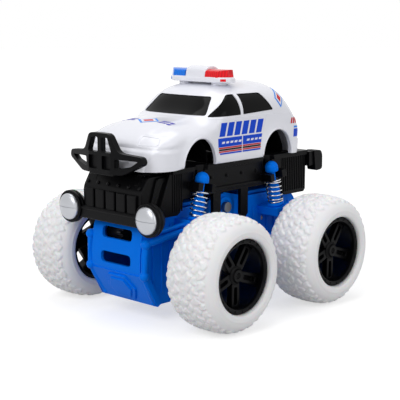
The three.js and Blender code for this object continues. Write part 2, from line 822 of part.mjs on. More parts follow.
// One side wall. Its two legs stand nearer the front on the left and nearer the rear on the right.
function sideWall(hand) {
  const legs = hand > 0 ? [11.5, 5.5, -10.5, -16.5] : [16.5, 10.5, -5.5, -11.5];
  const corners = [
    [-tubFront, deckTop],
    [tubRear, deckTop],
    [tubRear, panelFoot, 1.5],
    [tubRear - 20, panelFoot, 1.5],
    [tubRear - 23, railHeight],
    [legs[0], railHeight],
    [legs[0], legFoot, 2],
    [legs[1], legFoot, 2],
    [legs[1], railHeight],
    [legs[2], railHeight],
    [legs[2], legFoot, 2],
    [legs[3], legFoot, 2],
    [legs[3], railHeight],
    [-tubRear + 23, railHeight],
    [-tubRear + 20, panelFoot, 1.5],
    [-tubRear + 4, panelFoot, 1.5],
  ];
  const xs = [tubHalfWidth - tubWall, tubHalfWidth].map((x) => hand * x).sort((a, b) => a - b);
  return sidePlate(outline(corners), ...xs, 1);
}

function shockLug(hand) {
  const inboard = tubHalfWidth - tubWall - shockSpread;
  const xs = hand > 0 ? [inboard, 4.6] : [-4.6, -inboard];
  const slot = hand > 0 ? [-lugSlotHalfWidth, 9] : [-9, lugSlotHalfWidth];
  const block = boxGeometry(xs, [-lugHalfLength, lugHalfLength], [shockLugFoot, shockLugTop]);
  const fork = inShockFrame(block, hand);
  const mouth = boxGeometry(slot, [-lugSlotHalfWidth, lugSlotHalfWidth + 0.5], [shockLugFoot - 2, shockLugTop + 2]);
  const room = shockHeadRadius + 1;
  const pocket = new THREE.CylinderGeometry(room, room, 40, 8).rotateX(Math.PI / 2);
  return { fork, mouth: inShockFrame(mouth, hand), pocket: inShockFrame(pocket.translate(0, 0, 20), hand) };
}

// The strip of side wall behind a lug, which carries it at any height of the rail.
function lugWeb(hand) {
  const lean = THREE.MathUtils.degToRad(shockLean);
  const middle = -shockSeatReach + shockLugFoot * Math.sin(lean);
  const foot = shockSeatHeight + shockLugFoot * Math.cos(lean);
  const xs = [tubHalfWidth - tubWall, tubHalfWidth].map((x) => hand * x).sort((a, b) => a - b);
  return box(xs, [middle - lugHalfLength, middle + lugHalfLength], [foot, deckTop - 1]);
}

const halfTurn = (body) => {
  const turn = new THREE.Matrix4().makeRotationZ(Math.PI);
  return solid(geometryOf(body).applyMatrix4(turn));
};

const shellBosses = [-bossReachFront, bossReachRear];

function chassisFrame() {
  const deckFoot = deckTop - deckThickness;
  const deck = box([-deckHalfWidth, deckHalfWidth], [-tubFront, tubRear], [deckFoot, deckTop]);
  const rearWall = box([-tubHalfWidth, tubHalfWidth], [tubRear - tubWall, tubRear], [60, deckTop]);
  const post = box(
    [-pivotPostHalfWidth, pivotPostHalfWidth],
    [-pivotPostHalfLength, pivotPostHalfLength],
    [pivotHeight - 9, deckTop - 1],
  );
  const lugs = [1, -1].map(shockLug);
  const forks = lugs.map((lug) => lug.fork);
  const mouths = lugs.map((lug) => lug.mouth);
  const pockets = lugs.map((lug) => lug.pocket);
  const webs = [1, -1].map(lugWeb);
  const ribs = [-30, 24].map((y) =>
    box([-tubHalfWidth + 1, tubHalfWidth - 1], [y - 1, y + 1], [deckFoot - 5, deckFoot + 1]),
  );
  const tub = cut(
    joined(deck, rearWall, post, sideWall(1), sideWall(-1), ...webs, ...webs.map(halfTurn), ...ribs),
    ...pockets,
    ...pockets.map(halfTurn),
  );
  const body = joined(tub, ...forks, ...forks.map(halfTurn));
  const holes = shellBosses.map((y) => uprightBar(screwRadius + fitGap, 0, y, deckFoot - 1, deckTop + 1, 12));
  return cut(
    body,
    ...mouths,
    ...mouths.map(halfTurn),
    ...holes,
    crossBar(pivotPinRadius + fitGap, -tubHalfWidth + tubWall, tubHalfWidth - tubWall, 0, pivotHeight, 10),
  );
}

function pivotPin() {
  const end = caseHalfWidth + 2.6;
  const head = crossBar(pivotPinRadius + 1.4, caseHalfWidth + seatGap, end, 0, pivotHeight, 10);
  return joined(crossBar(pivotPinRadius, -end, end - 1, 0, pivotHeight, 10), head);
}

function pivotClip() {
  const from = -caseHalfWidth - seatGap - 1.3;
  const washer = crossBar(pivotPinRadius + 1.6, from, from + 1.3, 0, pivotHeight, 10);
  return cut(washer, crossBar(pivotPinRadius + fitGap, from - 1, from + 3, 0, pivotHeight, 10));
}

// Front fascia

const headlightSides = 12;

function frontFascia() {
  const rear = tubFront - 6;
  const shoulder = fasciaTop - fasciaChamferRise;
  const corners = [
    [-fasciaFront, barFoot],
    [-fasciaFront, shoulder],
    [-fasciaFront + fasciaChamferRun, fasciaTop],
    [-rear, fasciaTop],
    [-rear, barFoot],
  ];
  const block = sidePlate(outline(corners), -fasciaHalfWidth, fasciaHalfWidth);
  const hollow = [
    [-fasciaFront + fasciaWall, barFoot - 1],
    [-fasciaFront + fasciaWall, shoulder - fasciaWall / 2],
    [-fasciaFront + fasciaChamferRun + fasciaWall, fasciaTop - fasciaWall],
    [-rear + 1, fasciaTop - fasciaWall],
    [-rear + 1, barFoot - 1],
  ];
  const inside = sidePlate(outline(hollow), -fasciaHalfWidth + fasciaWall, fasciaHalfWidth - fasciaWall);
  const skirt = box(
    [-fasciaHalfWidth - 1, fasciaHalfWidth + 1],
    [-fasciaFront + 3, -rear + 1],
    [barFoot - 1, panelFoot + 3],
  );
  const bar = box(
    [-headlightSpread, headlightSpread],
    [-barFront, -barFront + barThickness],
    [barFoot, barFoot + barHeight],
  );
  const ribPitch = (2 * fasciaHalfWidth - 4) / grilleRibCount;
  const ribs = Array.from({ length: grilleRibCount }, (_, i) => {
    const x = -fasciaHalfWidth + 2 + ribPitch * (i + 0.5);
    const halfWidth = ribPitch / 2 - 1;
    const reach = [-fasciaFront - 1.2, -fasciaFront + 1];
    return box([x - halfWidth, x + halfWidth], reach, [barFoot + barHeight - 1, shoulder - 0.8]);
  });
  const pods = [1, -1].map((hand) => {
    const cup = turnedGeometry(
      [
        [0, -podDepth],
        [podRadius - 3, -podDepth],
        [podRadius, -podDepth + 4],
        [podRadius, 0],
        [headlightRadius + fitGap, 0],
        [headlightRadius + fitGap, -headlightSeat - fitGap],
        [0, -headlightSeat - fitGap],
      ],
      headlightSides,
    );
    cup.rotateX(Math.PI / 2);
    return solid(cup.translate(hand * headlightSpread, -barFront - 1, headlightHeight));
  });
  const sockets = [1, -1].map((hand) => {
    const room = headlightRadius + fitGap;
    const disc = turnedGeometry(
      [
        [0, -headlightSeat - fitGap],
        [room, -headlightSeat - fitGap],
        [room, 3],
        [0, 3],
      ],
      headlightSides,
    );
    disc.rotateX(Math.PI / 2);
    return solid(disc.translate(hand * headlightSpread, -barFront - 1, headlightHeight));
  });
  return cut(joined(cut(block, inside, skirt), bar, ...ribs, ...pods), ...sockets);
}

function headlight(hand) {
  const profile = [
    [0, seatGap - headlightSeat],
    [headlightRadius, seatGap - headlightSeat],
  ];
  for (let i = 0; i <= 3; i++) {
    const turn = (i / 3) * (Math.PI / 2);
    profile.push([headlightRadius * Math.cos(turn), headlightEdge + headlightDome * Math.sin(turn)]);
  }
  profile[profile.length - 1][0] = 0;
  const dome = turnedGeometry(profile, headlightSides).rotateX(Math.PI / 2);
  return solid(dome.translate(hand * headlightSpread, -barFront - 1, headlightHeight));
}

// Bumpers

function frontBumper() {
  const across = (share) => bumperHalfWidth * share;
  const up = (share) => bumperFoot + (bumperTop - bumperFoot) * share;
  const rightHalf = [
    [0.273, 1, 2.5],
    [0.455, 0.561, 3],
    [0.964, 0.505, 2.5],
    [1, 0.336, 2],
    [0.545, 0.047, 2],
  ];
  const leftHalf = rightHalf.map(([x, z, radius]) => [-x, z, radius]).reverse();
  const place = ([x, z, radius]) => [across(x), up(z), radius];
  const shape = outline([...rightHalf, ...leftHalf].map(place));
  const holes = [1, -1].flatMap((hand) => {
    const upper = [
      [0.062, 0.879, 0.5],
      [0.196, 0.879, 0.5],
      [0.269, 0.523, 0.5],
      [0.062, 0.523, 0.5],
    ];
    const wing = [
      [0.4, 0.411, 0.5],
      [0.869, 0.383, 0.5],
      [0.76, 0.234, 0.5],
      [0.4, 0.215, 0.5],
    ];
    return [upper, wing].map((corners) => {
      const hole = outline(corners.map(([x, z, radius]) => place([hand * x, z, radius])));
      return frontPlate(hole, -bumperFront - 1, -bumperFront + bumperThickness + 1, 1);
    });
  });
  const plate = geometryOf(cut(frontPlate(shape, -bumperFront, -bumperFront + bumperThickness, 2), ...holes));
  const position = plate.getAttribute("position");
  for (let i = 0; i < position.count; i++) {
    const outwards = Math.max(0, Math.abs(position.getX(i)) - across(0.29));
    position.setY(i, position.getY(i) + outwards * bumperSweep);
  }
  const tongueEnd = -tubFront - tongueGap;
  const tongue = box([across(-0.33), across(0.33)], [-bumperFront + 1, tongueEnd], [bumperFoot, up(0.112)]);
  const brace = sidePlate(
    outline([
      [-bumperFront + 2, up(0.047)],
      [(tongueEnd - bumperFront) / 2, up(0.047)],
      [-bumperFront + 2, up(0.327)],
    ]),
    across(-0.22),
    across(0.22),
  );
  return joined(solid(plate), tongue, brace);
}

function rearBumper() {
  const face = tubRear + seatGap;
  const half = rearBumperHalfWidth;
  const out = (share) => face + (rearBumperReach - face) * share;
  const pad = box([-half / 2, half / 2], [face, out(0.27)], [deckTop - 2 * rearBumperHeight, deckTop - 1]);
  const beam = sidePlate(
    outline([
      [face, deckTop - 1],
      [out(0.46), deckTop - 1, 1],
      [out(0.64), deckTop - rearBumperHeight + 0.7, 1],
      [face, deckTop - rearBumperHeight - 0.3],
    ]),
    -half + 1,
    half - 1,
    2,
  );
  const ends = [1, -1].map((hand) => {
    const block = outline([
      [out(0.286), deckTop - 0.4, 1.5],
      [out(0.875), deckTop - 0.8, 1.5],
      [out(1), deckTop - 3.4, 1.5],
      [out(1), deckTop - rearBumperHeight - 2.9, 1.5],
      [out(0.43), deckTop - rearBumperHeight - 3.5, 1.5],
    ]);
    const xs = [half - rearBumperBlock, half].map((x) => hand * x).sort((a, b) => a - b);
    return sidePlate(block, ...xs, 2);
  });
  return joined(pad, beam, ...ends);
}

// Body shell: a loft of rounded sections whose top follows the hood, screen, roof and tailgate

// Places on the shell as shares of its length from the nose, its height and its half width.
const along = (share) => -noseEnd + (noseEnd + tailEnd) * share;
const above = (share) => shellFoot + (roofHeight - shellFoot) * share;
const abreast = (share) => shellHalfWidth * share;

const topLine = new THREE.SplineCurve(
  [
    [0, 0.1496],
    [0.0297, 0.3616],
    [0.1399, 0.5187],
    [0.3278, 0.6085],
    [0.458, 0.9052],
    [0.5769, 1],
    [0.8129, 0.99],
    [0.9309, 0.6608],
    [0.986, 0.3616],
    [1, 0.187],
  ].map(([y, z]) => new THREE.Vector2(along(y), above(z))),
);

// How far the plan has drawn in towards the nose and the tail.
function planHalfWidth(y, halfWidth) {
  const middle = (tailEnd - noseEnd) / 2;
  const length = (tailEnd + noseEnd) / 2 + 2;
  const share = Math.min(1, Math.abs(y - middle) / length);
  return halfWidth * (1 - share ** (y < middle ? 10 : 16)) ** 0.3;
}

function shellSection(y, top, halfWidth, foot) {
  const width = planHalfWidth(y, halfWidth);
  const belt = shellFoot + (top - shellFoot) * beltShare;
  const points = [new THREE.Vector3(width - 0.8, y, foot)];
  const steps = 4;
  for (let i = 0; i <= 2 * steps; i++) {
    const turn = (i / (2 * steps)) * Math.PI;
    const across = Math.sign(Math.cos(turn)) * Math.abs(Math.cos(turn)) ** (2 / 2.95);
    const up = Math.abs(Math.sin(turn)) ** (2 / 2.2);
    points.push(new THREE.Vector3(width * across, y, belt + (top - belt) * up));
  }
  points.push(new THREE.Vector3(-width + 0.8, y, foot));
  return points;
}

// The shell's outer form drawn in by a distance. Its foot can be lowered to cut right through.
function shellForm(drawnIn, foot) {
  const stations = topLine.getPoints(14);
  const first = stations[0].x;
  const last = stations[stations.length - 1].x;
  const squeeze = (y) => first + drawnIn + ((y - first) * (last - first - 2 * drawnIn)) / (last - first);
  const rings = stations.map(({ x: y, y: top }) =>
    shellSection(squeeze(y), top - drawnIn * 1.15, shellHalfWidth - drawnIn, foot),
  );
  return solid(skin(rings.map((ring) => ring.reverse())));
}

// Corners and corner radii
const sideWindows = [
  [
    [0.3671, 0.601, 1],
    [0.4545, 0.8204, 4],
    [0.5122, 0.8728, 1],
    [0.535, 0.8753, 0.6],
    [0.5455, 0.6085, 0.6],
  ].map(([y, z, radius]) => [along(y), above(z), radius]),
  [
    [0.5559, 0.8778, 0.6],
    [0.7045, 0.8753, 1.5],
    [0.778, 0.6359, 1],
    [0.5594, 0.611, 0.6],
  ].map(([y, z, radius]) => [along(y), above(z), radius]),
];
const windscreen = [
  [-0.7533, 0.616, 2],
  [0.7533, 0.616, 2],
  [0.62, 0.8504, 2],
  [-0.62, 0.8504, 2],
].map(([x, z, radius]) => [abreast(x), above(z), radius]);
const rearWindow = [
  [-0.7, 0.596, 2],
  [0.7, 0.596, 2],
  [0.6, 0.8454, 2],
  [-0.6, 0.8454, 2],
].map(([x, z, radius]) => [abreast(x), above(z), radius]);

// The window openings as prisms through the cabin, drawn in by a clearance.
function windowPrisms(clearance) {
  const reach = shellHalfWidth + 4;
  const drawnIn = (corners) => {
    const radii = corners.map((corner) => corner[2]);
    const moved = clearance ? inset(corners, clearance) : corners;
    return outline(moved.map(([a, b], i) => [a, b, radii[i]]));
  };
  return joined(
    ...sideWindows.flatMap((corners) => [
      sidePlate(drawnIn(corners), abreast(0.47), reach, 1),
      sidePlate(drawnIn(corners), -reach, -abreast(0.47), 1),
    ]),
    frontPlate(drawnIn(windscreen), along(0.245), along(0.524), 1),
    frontPlate(drawnIn(rearWindow), along(0.804), tailEnd + 4, 1),
  );
}

function wheelArch(y) {
  const shape = new THREE.Shape();
  shape.absellipse(y, shellFoot, archHalfLength, archHeight, 0, 2 * Math.PI);
  return sidePlate(shape, -shellHalfWidth - 4, shellHalfWidth + 4, 6);
}

// A bore through the roof for one of the light bar's pegs.
const pegRoom = (hand, radius) =>
  uprightBar(radius, hand * pegSpread, lightBarMiddle, roofHeight - 8.6, roofHeight + 3.4);

function bodyShell() {
  const outer = shellForm(0, shellFoot);
  const inner = shellForm(shellWall, shellFoot - 4);
  const bosses = joined(
    ...shellBosses.map((y) => uprightBar(bossRadius, 0, y, deckTop + seatGap, roofHeight)),
  ).intersect(shellForm(shellWall / 2, deckTop));
  const holes = shellBosses.map((y) => uprightBar(screwRadius + fitGap, 0, y, deckTop - 1, deckTop + 9, 12));
  const pegHoles = [1, -1].map((hand) => pegRoom(hand, pegRadius + fitGap));
  return cut(
    joined(cut(outer, inner), bosses),
    ...[-archSpread, archSpread].map(wheelArch),
    windowPrisms(0),
    ...holes,
    ...pegHoles,
  );
}

// The dark moulding inside the cabin: a core whose pads fill the window openings.
function windowInsert() {
  const half = abreast(0.533);
  const core = box([-half, half], [along(0.4895), along(0.8304)], [above(0.601), above(0.8354)]);
  const pads = shellForm(0.5, shellFoot).intersect(windowPrisms(seatGap));
  const pegHoles = [1, -1].map((hand) => pegRoom(hand, pegRadius + 2 * fitGap));
  return cut(joined(core, pads), ...pegHoles);
}

// Light bar

function lightBarBase() {
  const half = lightBarHalfWidth;
  const tray = frontPlate(
    outline([
      [-half, lensFoot - seatGap, 0.6],
      [-half + 0.6, lightBarFoot + 0.8, 0.8],
      [-half + 5, lightBarFoot, 1],
      [half - 5, lightBarFoot, 1],
      [half - 0.6, lightBarFoot + 0.8, 0.8],
      [half, lensFoot - seatGap, 0.6],
    ]),
    lightBarFront,
    lightBarRear,
    2,
  );
  const hump = sidePlate(
    outline([
      [lightBarFront + 0.4, lensFoot - 1],
      [lightBarFront + 1.6, lightBarTop - 1, 1.5],
      [lightBarMiddle - 2, lightBarTop, 1],
      [lightBarMiddle + 2, lightBarTop, 1],
      [lightBarRear - 1.6, lightBarTop - 1, 1.5],
      [lightBarRear - 0.4, lensFoot - 1],
    ]),
    -lensInnerEnd + seatGap,
    lensInnerEnd - seatGap,
    2,
  );
  const feet = [1, -1].map((hand) =>
    uprightBar(pegRadius + 2.4, hand * pegSpread, lightBarMiddle, roofHeight + seatGap / 3, lightBarFoot + 1),
  );
  const pegs = [1, -1].map((hand) =>
    uprightBar(pegRadius, hand * pegSpread, lightBarMiddle, roofHeight - 5, lightBarFoot + 1),
  );
  return joined(tray, hump, ...feet, ...pegs);
}

function lightBarLens(hand) {
  const profile = outline([
    [lightBarFront + 0.5, lensFoot],
    [lightBarFront + 1.4, lensTop, 1.4],
    [lightBarRear - 1.4, lensTop, 1.4],
    [lightBarRear - 0.5, lensFoot],
  ]);
  const xs = [lensInnerEnd, lightBarHalfWidth - 0.4].map((x) => hand * x).sort((a, b) => a - b);
  const end = outline([
    [hand * lensInnerEnd, lensFoot - 1],
    [hand * (lightBarHalfWidth - 0.4), lensFoot - 1],
    [hand * (lightBarHalfWidth - 1.4), lensTop + 1],
    [hand * lensInnerEnd, lensTop + 1],
  ]);
  return sidePlate(profile, ...xs, 3).intersect(frontPlate(end, lightBarFront - 2, lightBarRear + 2));
}

function shellScrew(y) {
  const deckFoot = deckTop - deckThickness;
  const head = uprightBar(screwHeadRadius, 0, y, deckFoot - seatGap - screwHeadHeight, deckFoot - seatGap);
  return joined(head, uprightBar(screwRadius, 0, y, deckFoot - 1, deckTop + 7, 12));
}

// Assembly

const body = new THREE.Group();
body.add(
  mesh("chassis_frame", chassisFrame(), materials.blackPlastic),
  mesh("front_fascia", frontFascia(), materials.blackPlastic),
  mesh("front_bumper", frontBumper(), materials.blackPlastic),
  mesh("rear_bumper", rearBumper(), materials.blackPlastic),
  mesh("headlight_left", headlight(1), materials.silverPlate),
  mesh("headlight_right", headlight(-1), materials.silverPlate),
  mesh("body_shell", bodyShell(), materials.whiteShell),
  mesh("window_insert", windowInsert(), materials.blackGloss),
  mesh("light_bar_base", lightBarBase(), materials.whiteShell),
  mesh("light_bar_lens_red", lightBarLens(1), materials.redLens),
  mesh("light_bar_lens_blue", lightBarLens(-1), materials.blueLens),
  mesh("pivot_pin", pivotPin(), materials.steel),
  mesh("pivot_clip", pivotClip(), materials.steel),
  mesh("shell_screw_front", shellScrew(shellBosses[0]), materials.steel),
  mesh("shell_screw_rear", shellScrew(shellBosses[1]), materials.steel),
);

const frontUnit = axleUnit("front", "left", "right");
const rearUnit = axleUnit("rear", "right", "left");
rearUnit.rotation.z = Math.PI;

const car = new THREE.Group();
car.add(body, frontUnit, rearUnit);

export default car;
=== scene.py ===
"""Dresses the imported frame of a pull-back stunt car, from the shell and its livery to the wheels."""

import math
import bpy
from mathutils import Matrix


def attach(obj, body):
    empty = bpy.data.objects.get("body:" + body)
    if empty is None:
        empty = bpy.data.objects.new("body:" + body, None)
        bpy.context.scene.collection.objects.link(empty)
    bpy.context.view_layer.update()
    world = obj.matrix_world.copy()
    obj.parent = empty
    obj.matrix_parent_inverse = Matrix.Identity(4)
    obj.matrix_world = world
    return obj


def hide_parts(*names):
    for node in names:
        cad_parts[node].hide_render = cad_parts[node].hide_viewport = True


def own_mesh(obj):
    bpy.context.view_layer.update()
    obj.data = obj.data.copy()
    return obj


bl_info = {
    "name": "Pull-back stunt car",
    "version": (1, 0, 0),
    "blender": (4, 5, 0),
    "location": "3D View > Sidebar > Stunt Car",
    "description": "Builds the finished pieces of a lifted toy car around its CAD frame",
    "category": "Object",
}

import bmesh
import bpy
import numpy as np
from bpy.props import FloatProperty, FloatVectorProperty, IntProperty, PointerProperty
from mathutils import Matrix, Vector
from mathutils.bvhtree import BVHTree

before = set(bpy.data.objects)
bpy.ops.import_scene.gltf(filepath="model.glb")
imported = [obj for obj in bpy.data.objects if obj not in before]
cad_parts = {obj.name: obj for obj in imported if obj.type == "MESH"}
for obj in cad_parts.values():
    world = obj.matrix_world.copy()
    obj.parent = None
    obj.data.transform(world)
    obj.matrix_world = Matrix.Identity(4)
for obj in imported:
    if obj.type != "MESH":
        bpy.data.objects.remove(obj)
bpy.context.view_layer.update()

MM = 0.001
SHARP = 35.0  # degrees: edges that turn by more stay sharp in the shading
ENDS = (("front", -1), ("rear", 1))
SIDES = (("left", 1), ("right", -1))
HANDS = (1, -1)


def linear(code):
    """An sRGB hex colour as linear red, green and blue."""
    shares = [int(code[i : i + 2], 16) / 255 for i in (1, 3, 5)]
    return tuple(s / 12.92 if s <= 0.04045 else ((s + 0.055) / 1.055) ** 2.4 for s in shares)


def length_prop(name, description, default):
    """A length in metres that the panel shows in the scene's unit."""
    return FloatProperty(
        name=name, description=description, default=default, min=0.0, unit="LENGTH", precision=5
    )


def count_prop(name, description, default, least, most):
    """A whole number between two limits."""
    return IntProperty(name=name, description=description, default=default, min=least, max=most)


def colour_prop(name, description, code):
    """A colour whose default is an sRGB hex value."""
    return FloatVectorProperty(
        name=name, description=description, default=linear(code), size=3, min=0.0, max=1.0, subtype="COLOR"
    )


class CarSizes(bpy.types.PropertyGroup):
    """Sizes that shape the finished pieces and leave the frame as it is."""

    flare: length_prop("Arch flare", "How far the shell swells round the wheel arches", 0.0008)
    arch_lip: length_prop("Arch lip", "Radius of the rolled edge of a wheel arch", 0.0007)
    edge_round: length_prop("Edge round", "Radius on the edges of the black mouldings", 0.0005)
    film: length_prop("Print thickness", "Thickness of the printed livery", 0.00005)
    tread_depth: length_prop("Tread depth", "Height of the tread's blocks above the tyre", 0.0007)
    tread_pitches: count_prop("Tread pitches", "Repeats round a tyre", 34, 8, 60)
    spokes: count_prop("Spokes", "Twin-rib spokes in a rim", 5, 3, 12)
    rim_studs: count_prop("Rim studs", "Small studs round a rim's edge", 20, 0, 60)
    spring_turns: FloatProperty(
        name="Spring turns", description="Turns of a shock's spring", default=5.0, min=1.0
    )
    spring_wire: length_prop("Spring wire", "Radius of a shock's spring wire", 0.0004)


class CarColours(bpy.types.PropertyGroup):
    """Colours of the mouldings, the lamps and the printed livery."""

    white: colour_prop("Shell white", "Gloss white of the shell and the light bar", "#EDEEF6")
    tyre: colour_prop("Tyre white", "Soft white of the tyres", "#EFEFF1")
    black: colour_prop("Black", "Satin black of the chassis, bumpers and rims", "#08080A")
    glass: colour_prop("Window black", "Gloss black of the windows", "#050506")
    blue: colour_prop("Blue", "Axle units and shock absorbers", "#0076F0")
    silver: colour_prop("Silver", "Sprayed silver of the headlights", "#B9BBC0")
    red_lens: colour_prop("Red lens", "Left half of the light bar", "#F80A1C")
    blue_lens: colour_prop("Blue lens", "Right half of the light bar", "#0080FA")
    print_blue: colour_prop("Print blue", "Blue ink of the livery", "#0A48D2")
    print_sky: colour_prop("Print sky", "Pale blue ink of the livery", "#2E8CF0")
    print_red: colour_prop("Print red", "Red ink of the livery", "#D0202E")
    print_dark: colour_prop("Print dark", "Dark ink of the livery", "#14151C")
    print_violet: colour_prop("Print violet", "Violet ink of the livery", "#4A46B4")


class CarSettings(bpy.types.PropertyGroup):
    """All settings of the stunt car."""

    sizes: PointerProperty(type=CarSizes)
    colours: PointerProperty(type=CarColours)


# Meshes, made in millimetres


def settle(obj, sharp=SHARP):
    """Merges doubles, turns faces outward and shades the mesh."""
    bm = bmesh.new()
    bm.from_mesh(obj.data)
    bmesh.ops.remove_doubles(bm, verts=bm.verts, dist=2e-6)
    bmesh.ops.dissolve_degenerate(bm, edges=bm.edges, dist=1e-7)
    bmesh.ops.recalc_face_normals(bm, faces=bm.faces)
    bm.to_mesh(obj.data)
    bm.free()
    shade(obj, sharp)
    return obj


def shade(obj, sharp=SHARP):
    """Smooth shading between edges sharper than an angle in degrees."""
    obj.data.polygons.foreach_set("use_smooth", np.ones(len(obj.data.polygons), bool))
    obj.data.set_sharp_from_angle(angle=math.radians(sharp))
    obj.data.update()
    return obj


def link(name, mesh):
    """A new object for a mesh, at the origin."""
    obj = bpy.data.objects.new(name, mesh)
    bpy.context.scene.collection.objects.link(obj)
    return obj


def solid(name, points, faces, sharp=SHARP):
    """An object from points in millimetres."""
    mesh = bpy.data.meshes.new(name)
    mesh.from_pydata(np.asarray(points, float) * MM, [], faces)
    return settle(link(name, mesh), sharp)


def baked(obj, sharp=None):
    """Turns the object's modifiers into plain mesh."""
    bpy.context.view_layer.update()
    graph = bpy.context.evaluated_depsgraph_get()
    mesh = bpy.data.meshes.new_from_object(obj.evaluated_get(graph))
    obj.modifiers.clear()
    obj.data = mesh
    return shade(obj, sharp) if sharp else obj


def carve(obj, tools, operation="DIFFERENCE"):
    """Cuts, joins or intersects an object with tools, which are then deleted."""
    for tool in tools:
        step = obj.modifiers.new(operation.lower(), "BOOLEAN")
        step.operation = operation
        step.solver = "EXACT"
        step.object = tool
    baked(obj)
    for tool in tools:
        bpy.data.objects.remove(tool)
    return settle(obj)


def soften(obj, width, segments):
    """Rounds the edges by a width in millimetres and keeps the flats flat."""
    edge = obj.modifiers.new("round", "BEVEL")
    edge.width = width * MM
    edge.segments = segments
    edge.limit_method = "ANGLE"
    edge.angle_limit = math.radians(30)
    edge.use_clamp_overlap = True
    edge.miter_outer = "MITER_ARC"
    baked(obj, 60.0)
    flat = obj.modifiers.new("flat", "WEIGHTED_NORMAL")
    flat.keep_sharp = True
    flat.weight = 60
    return baked(obj)


def join(name, pieces):
    """One object from several, which are then deleted."""
    bm = bmesh.new()
    for obj in pieces:
        bm.from_mesh(obj.data)
    mesh = bpy.data.meshes.new(name)
    bm.to_mesh(mesh)
    bm.free()
    for obj in pieces:
        bpy.data.objects.remove(obj)
    return shade(link(name, mesh), 40.0)


def moved(obj, matrix):
    """Moves an object's mesh by a matrix in millimetres."""
    place = Matrix.Scale(MM, 4) @ matrix @ Matrix.Scale(1 / MM, 4)
    obj.data.transform(place)
    if matrix.determinant() < 0:
        obj.data.flip_normals()
    return obj


def along(direction, origin):
    """A frame at an origin whose own Z axis follows a direction."""
    turn = Vector(direction).to_track_quat("Z", "Y").to_matrix().to_4x4()
    return Matrix.Translation(origin) @ turn


CORNER_STEPS = 6


def handed(hand, shape):
    """A profile or a path whose first coordinate is turned to one hand."""
    return [(hand * first, *rest) for first, *rest in shape]


def span(hand, near, far):
    """Limits across the car on one hand."""
    return sorted((hand * near, hand * far))


def oval(centre, reach, turns):
    """Points of an ellipse at some angles."""
    return [(centre[0] + reach[0] * math.cos(t), centre[1] + reach[1] * math.sin(t)) for t in turns]


def outline(corners):
    """A closed profile whose corners are (a, b) or (a, b, radius)."""
    points = []
    for i, corner in enumerate(corners):
        here = np.array(corner[:2], float)
        back = np.array(corners[i - 1][:2], float) - here
        ahead = np.array(corners[(i + 1) % len(corners)][:2], float) - here
        if len(corner) < 3 or not corner[2]:
            points.append(tuple(here))
            continue
        reach = min(corner[2], 0.49 * np.hypot(*back), 0.49 * np.hypot(*ahead))
        first = here + back / np.hypot(*back) * reach
        last = here + ahead / np.hypot(*ahead) * reach
        for t in np.linspace(0, 1, CORNER_STEPS + 1):
            points.append(tuple((1 - t) ** 2 * first + 2 * t * (1 - t) * here + t * t * last))
    return points


PRISM_AXES = {
    "x": lambda a, b, d: (d, a, b),
    "y": lambda a, b, d: (a, d, b),
    "z": lambda a, b, d: (a, b, d),
}


def prism(name, points, axis, low, high):
    """A profile drawn out along an axis."""
    place = PRISM_AXES[axis]
    n = len(points)
    ends = [place(a, b, d) for d in (low, high) for a, b in points]
    sides = [(i, (i + 1) % n, (i + 1) % n + n, i + n) for i in range(n)]
    return solid(name, ends, [tuple(range(n)), tuple(range(n, 2 * n)), *sides])


def block(name, xs, ys, zs):
    """A box between limits, as a tool or a base for soften."""
    return prism(name, [(xs[0], ys[0]), (xs[1], ys[0]), (xs[1], ys[1]), (xs[0], ys[1])], "z", *zs)


def skin(name, rings, loop=False, caps=True, sharp=SHARP):
    """A surface over closed rings of points, capped at its ends or joined into a loop."""
    rings = np.asarray(rings, float)
    rows, cols = rings.shape[:2]
    r, c = np.meshgrid(np.arange(rows if loop else rows - 1), np.arange(cols), indexing="ij")
    ahead, beside = (r + 1) % rows, (c + 1) % cols
    quads = np.stack([r * cols + c, r * cols + beside, ahead * cols + beside, ahead * cols + c], -1)
    faces = quads.reshape(-1, 4).tolist()
    if caps and not loop:
        faces += [list(range(cols)), list(range((rows - 1) * cols, rows * cols))]
    return solid(name, rings.reshape(-1, 3), faces, sharp)


def lathe(name, profile, place, segments=48, loop=False, sharp=SHARP):
    """A profile of (radius, height) turned about the Z axis of a frame."""
    turns = np.linspace(0, 2 * math.pi, segments, endpoint=False)
    circle = [(math.cos(t), math.sin(t)) for t in turns]
    rings = [[tuple(place @ Vector((r * a, r * b, h))) for a, b in circle] for r, h in profile]
    return skin(name, rings, loop, caps=False, sharp=sharp)


def rod(name, points, radius, closed=False, sides=12):
    """A round bar along a path of points."""
    curve = bpy.data.curves.new(name, "CURVE")
    curve.dimensions = "3D"
    curve.bevel_depth = radius * MM
    curve.bevel_resolution = max(0, sides // 4 - 1)
    curve.use_fill_caps = True
    path = curve.splines.new("POLY")
    path.points.add(len(points) - 1)
    for point, place in zip(path.points, points):
        point.co = (*(Vector(place) * MM), 1.0)
    path.use_cyclic_u = closed
    drawn = link(name, curve)
    bpy.context.view_layer.update()
    mesh = bpy.data.meshes.new_from_object(drawn.evaluated_get(bpy.context.evaluated_depsgraph_get()))
    bpy.data.objects.remove(drawn)
    return settle(link(name, mesh), 50.0)


def cad_copy(name, node, width=0.0):
    """A merged copy of a CAD node whose edges are rounded by a width in millimetres."""
    obj = link(name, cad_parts[node].data.copy())
    obj.data.materials.clear()
    bm = bmesh.new()
    bm.from_mesh(obj.data)
    bmesh.ops.remove_doubles(bm, verts=bm.verts, dist=4e-6)
    bmesh.ops.dissolve_limit(bm, angle_limit=math.radians(1.5), verts=bm.verts, edges=bm.edges)
    bm.to_mesh(obj.data)
    bm.free()
    shade(obj)
    return soften(obj, width, 2) if width else obj


def even_places(bm, axis, first, spacing):
    """Evenly spaced places along an axis, over the whole reach of a bmesh."""
    reach = [v.co[axis] for v in bm.verts]
    return np.arange(min(reach) + first, max(reach), spacing)


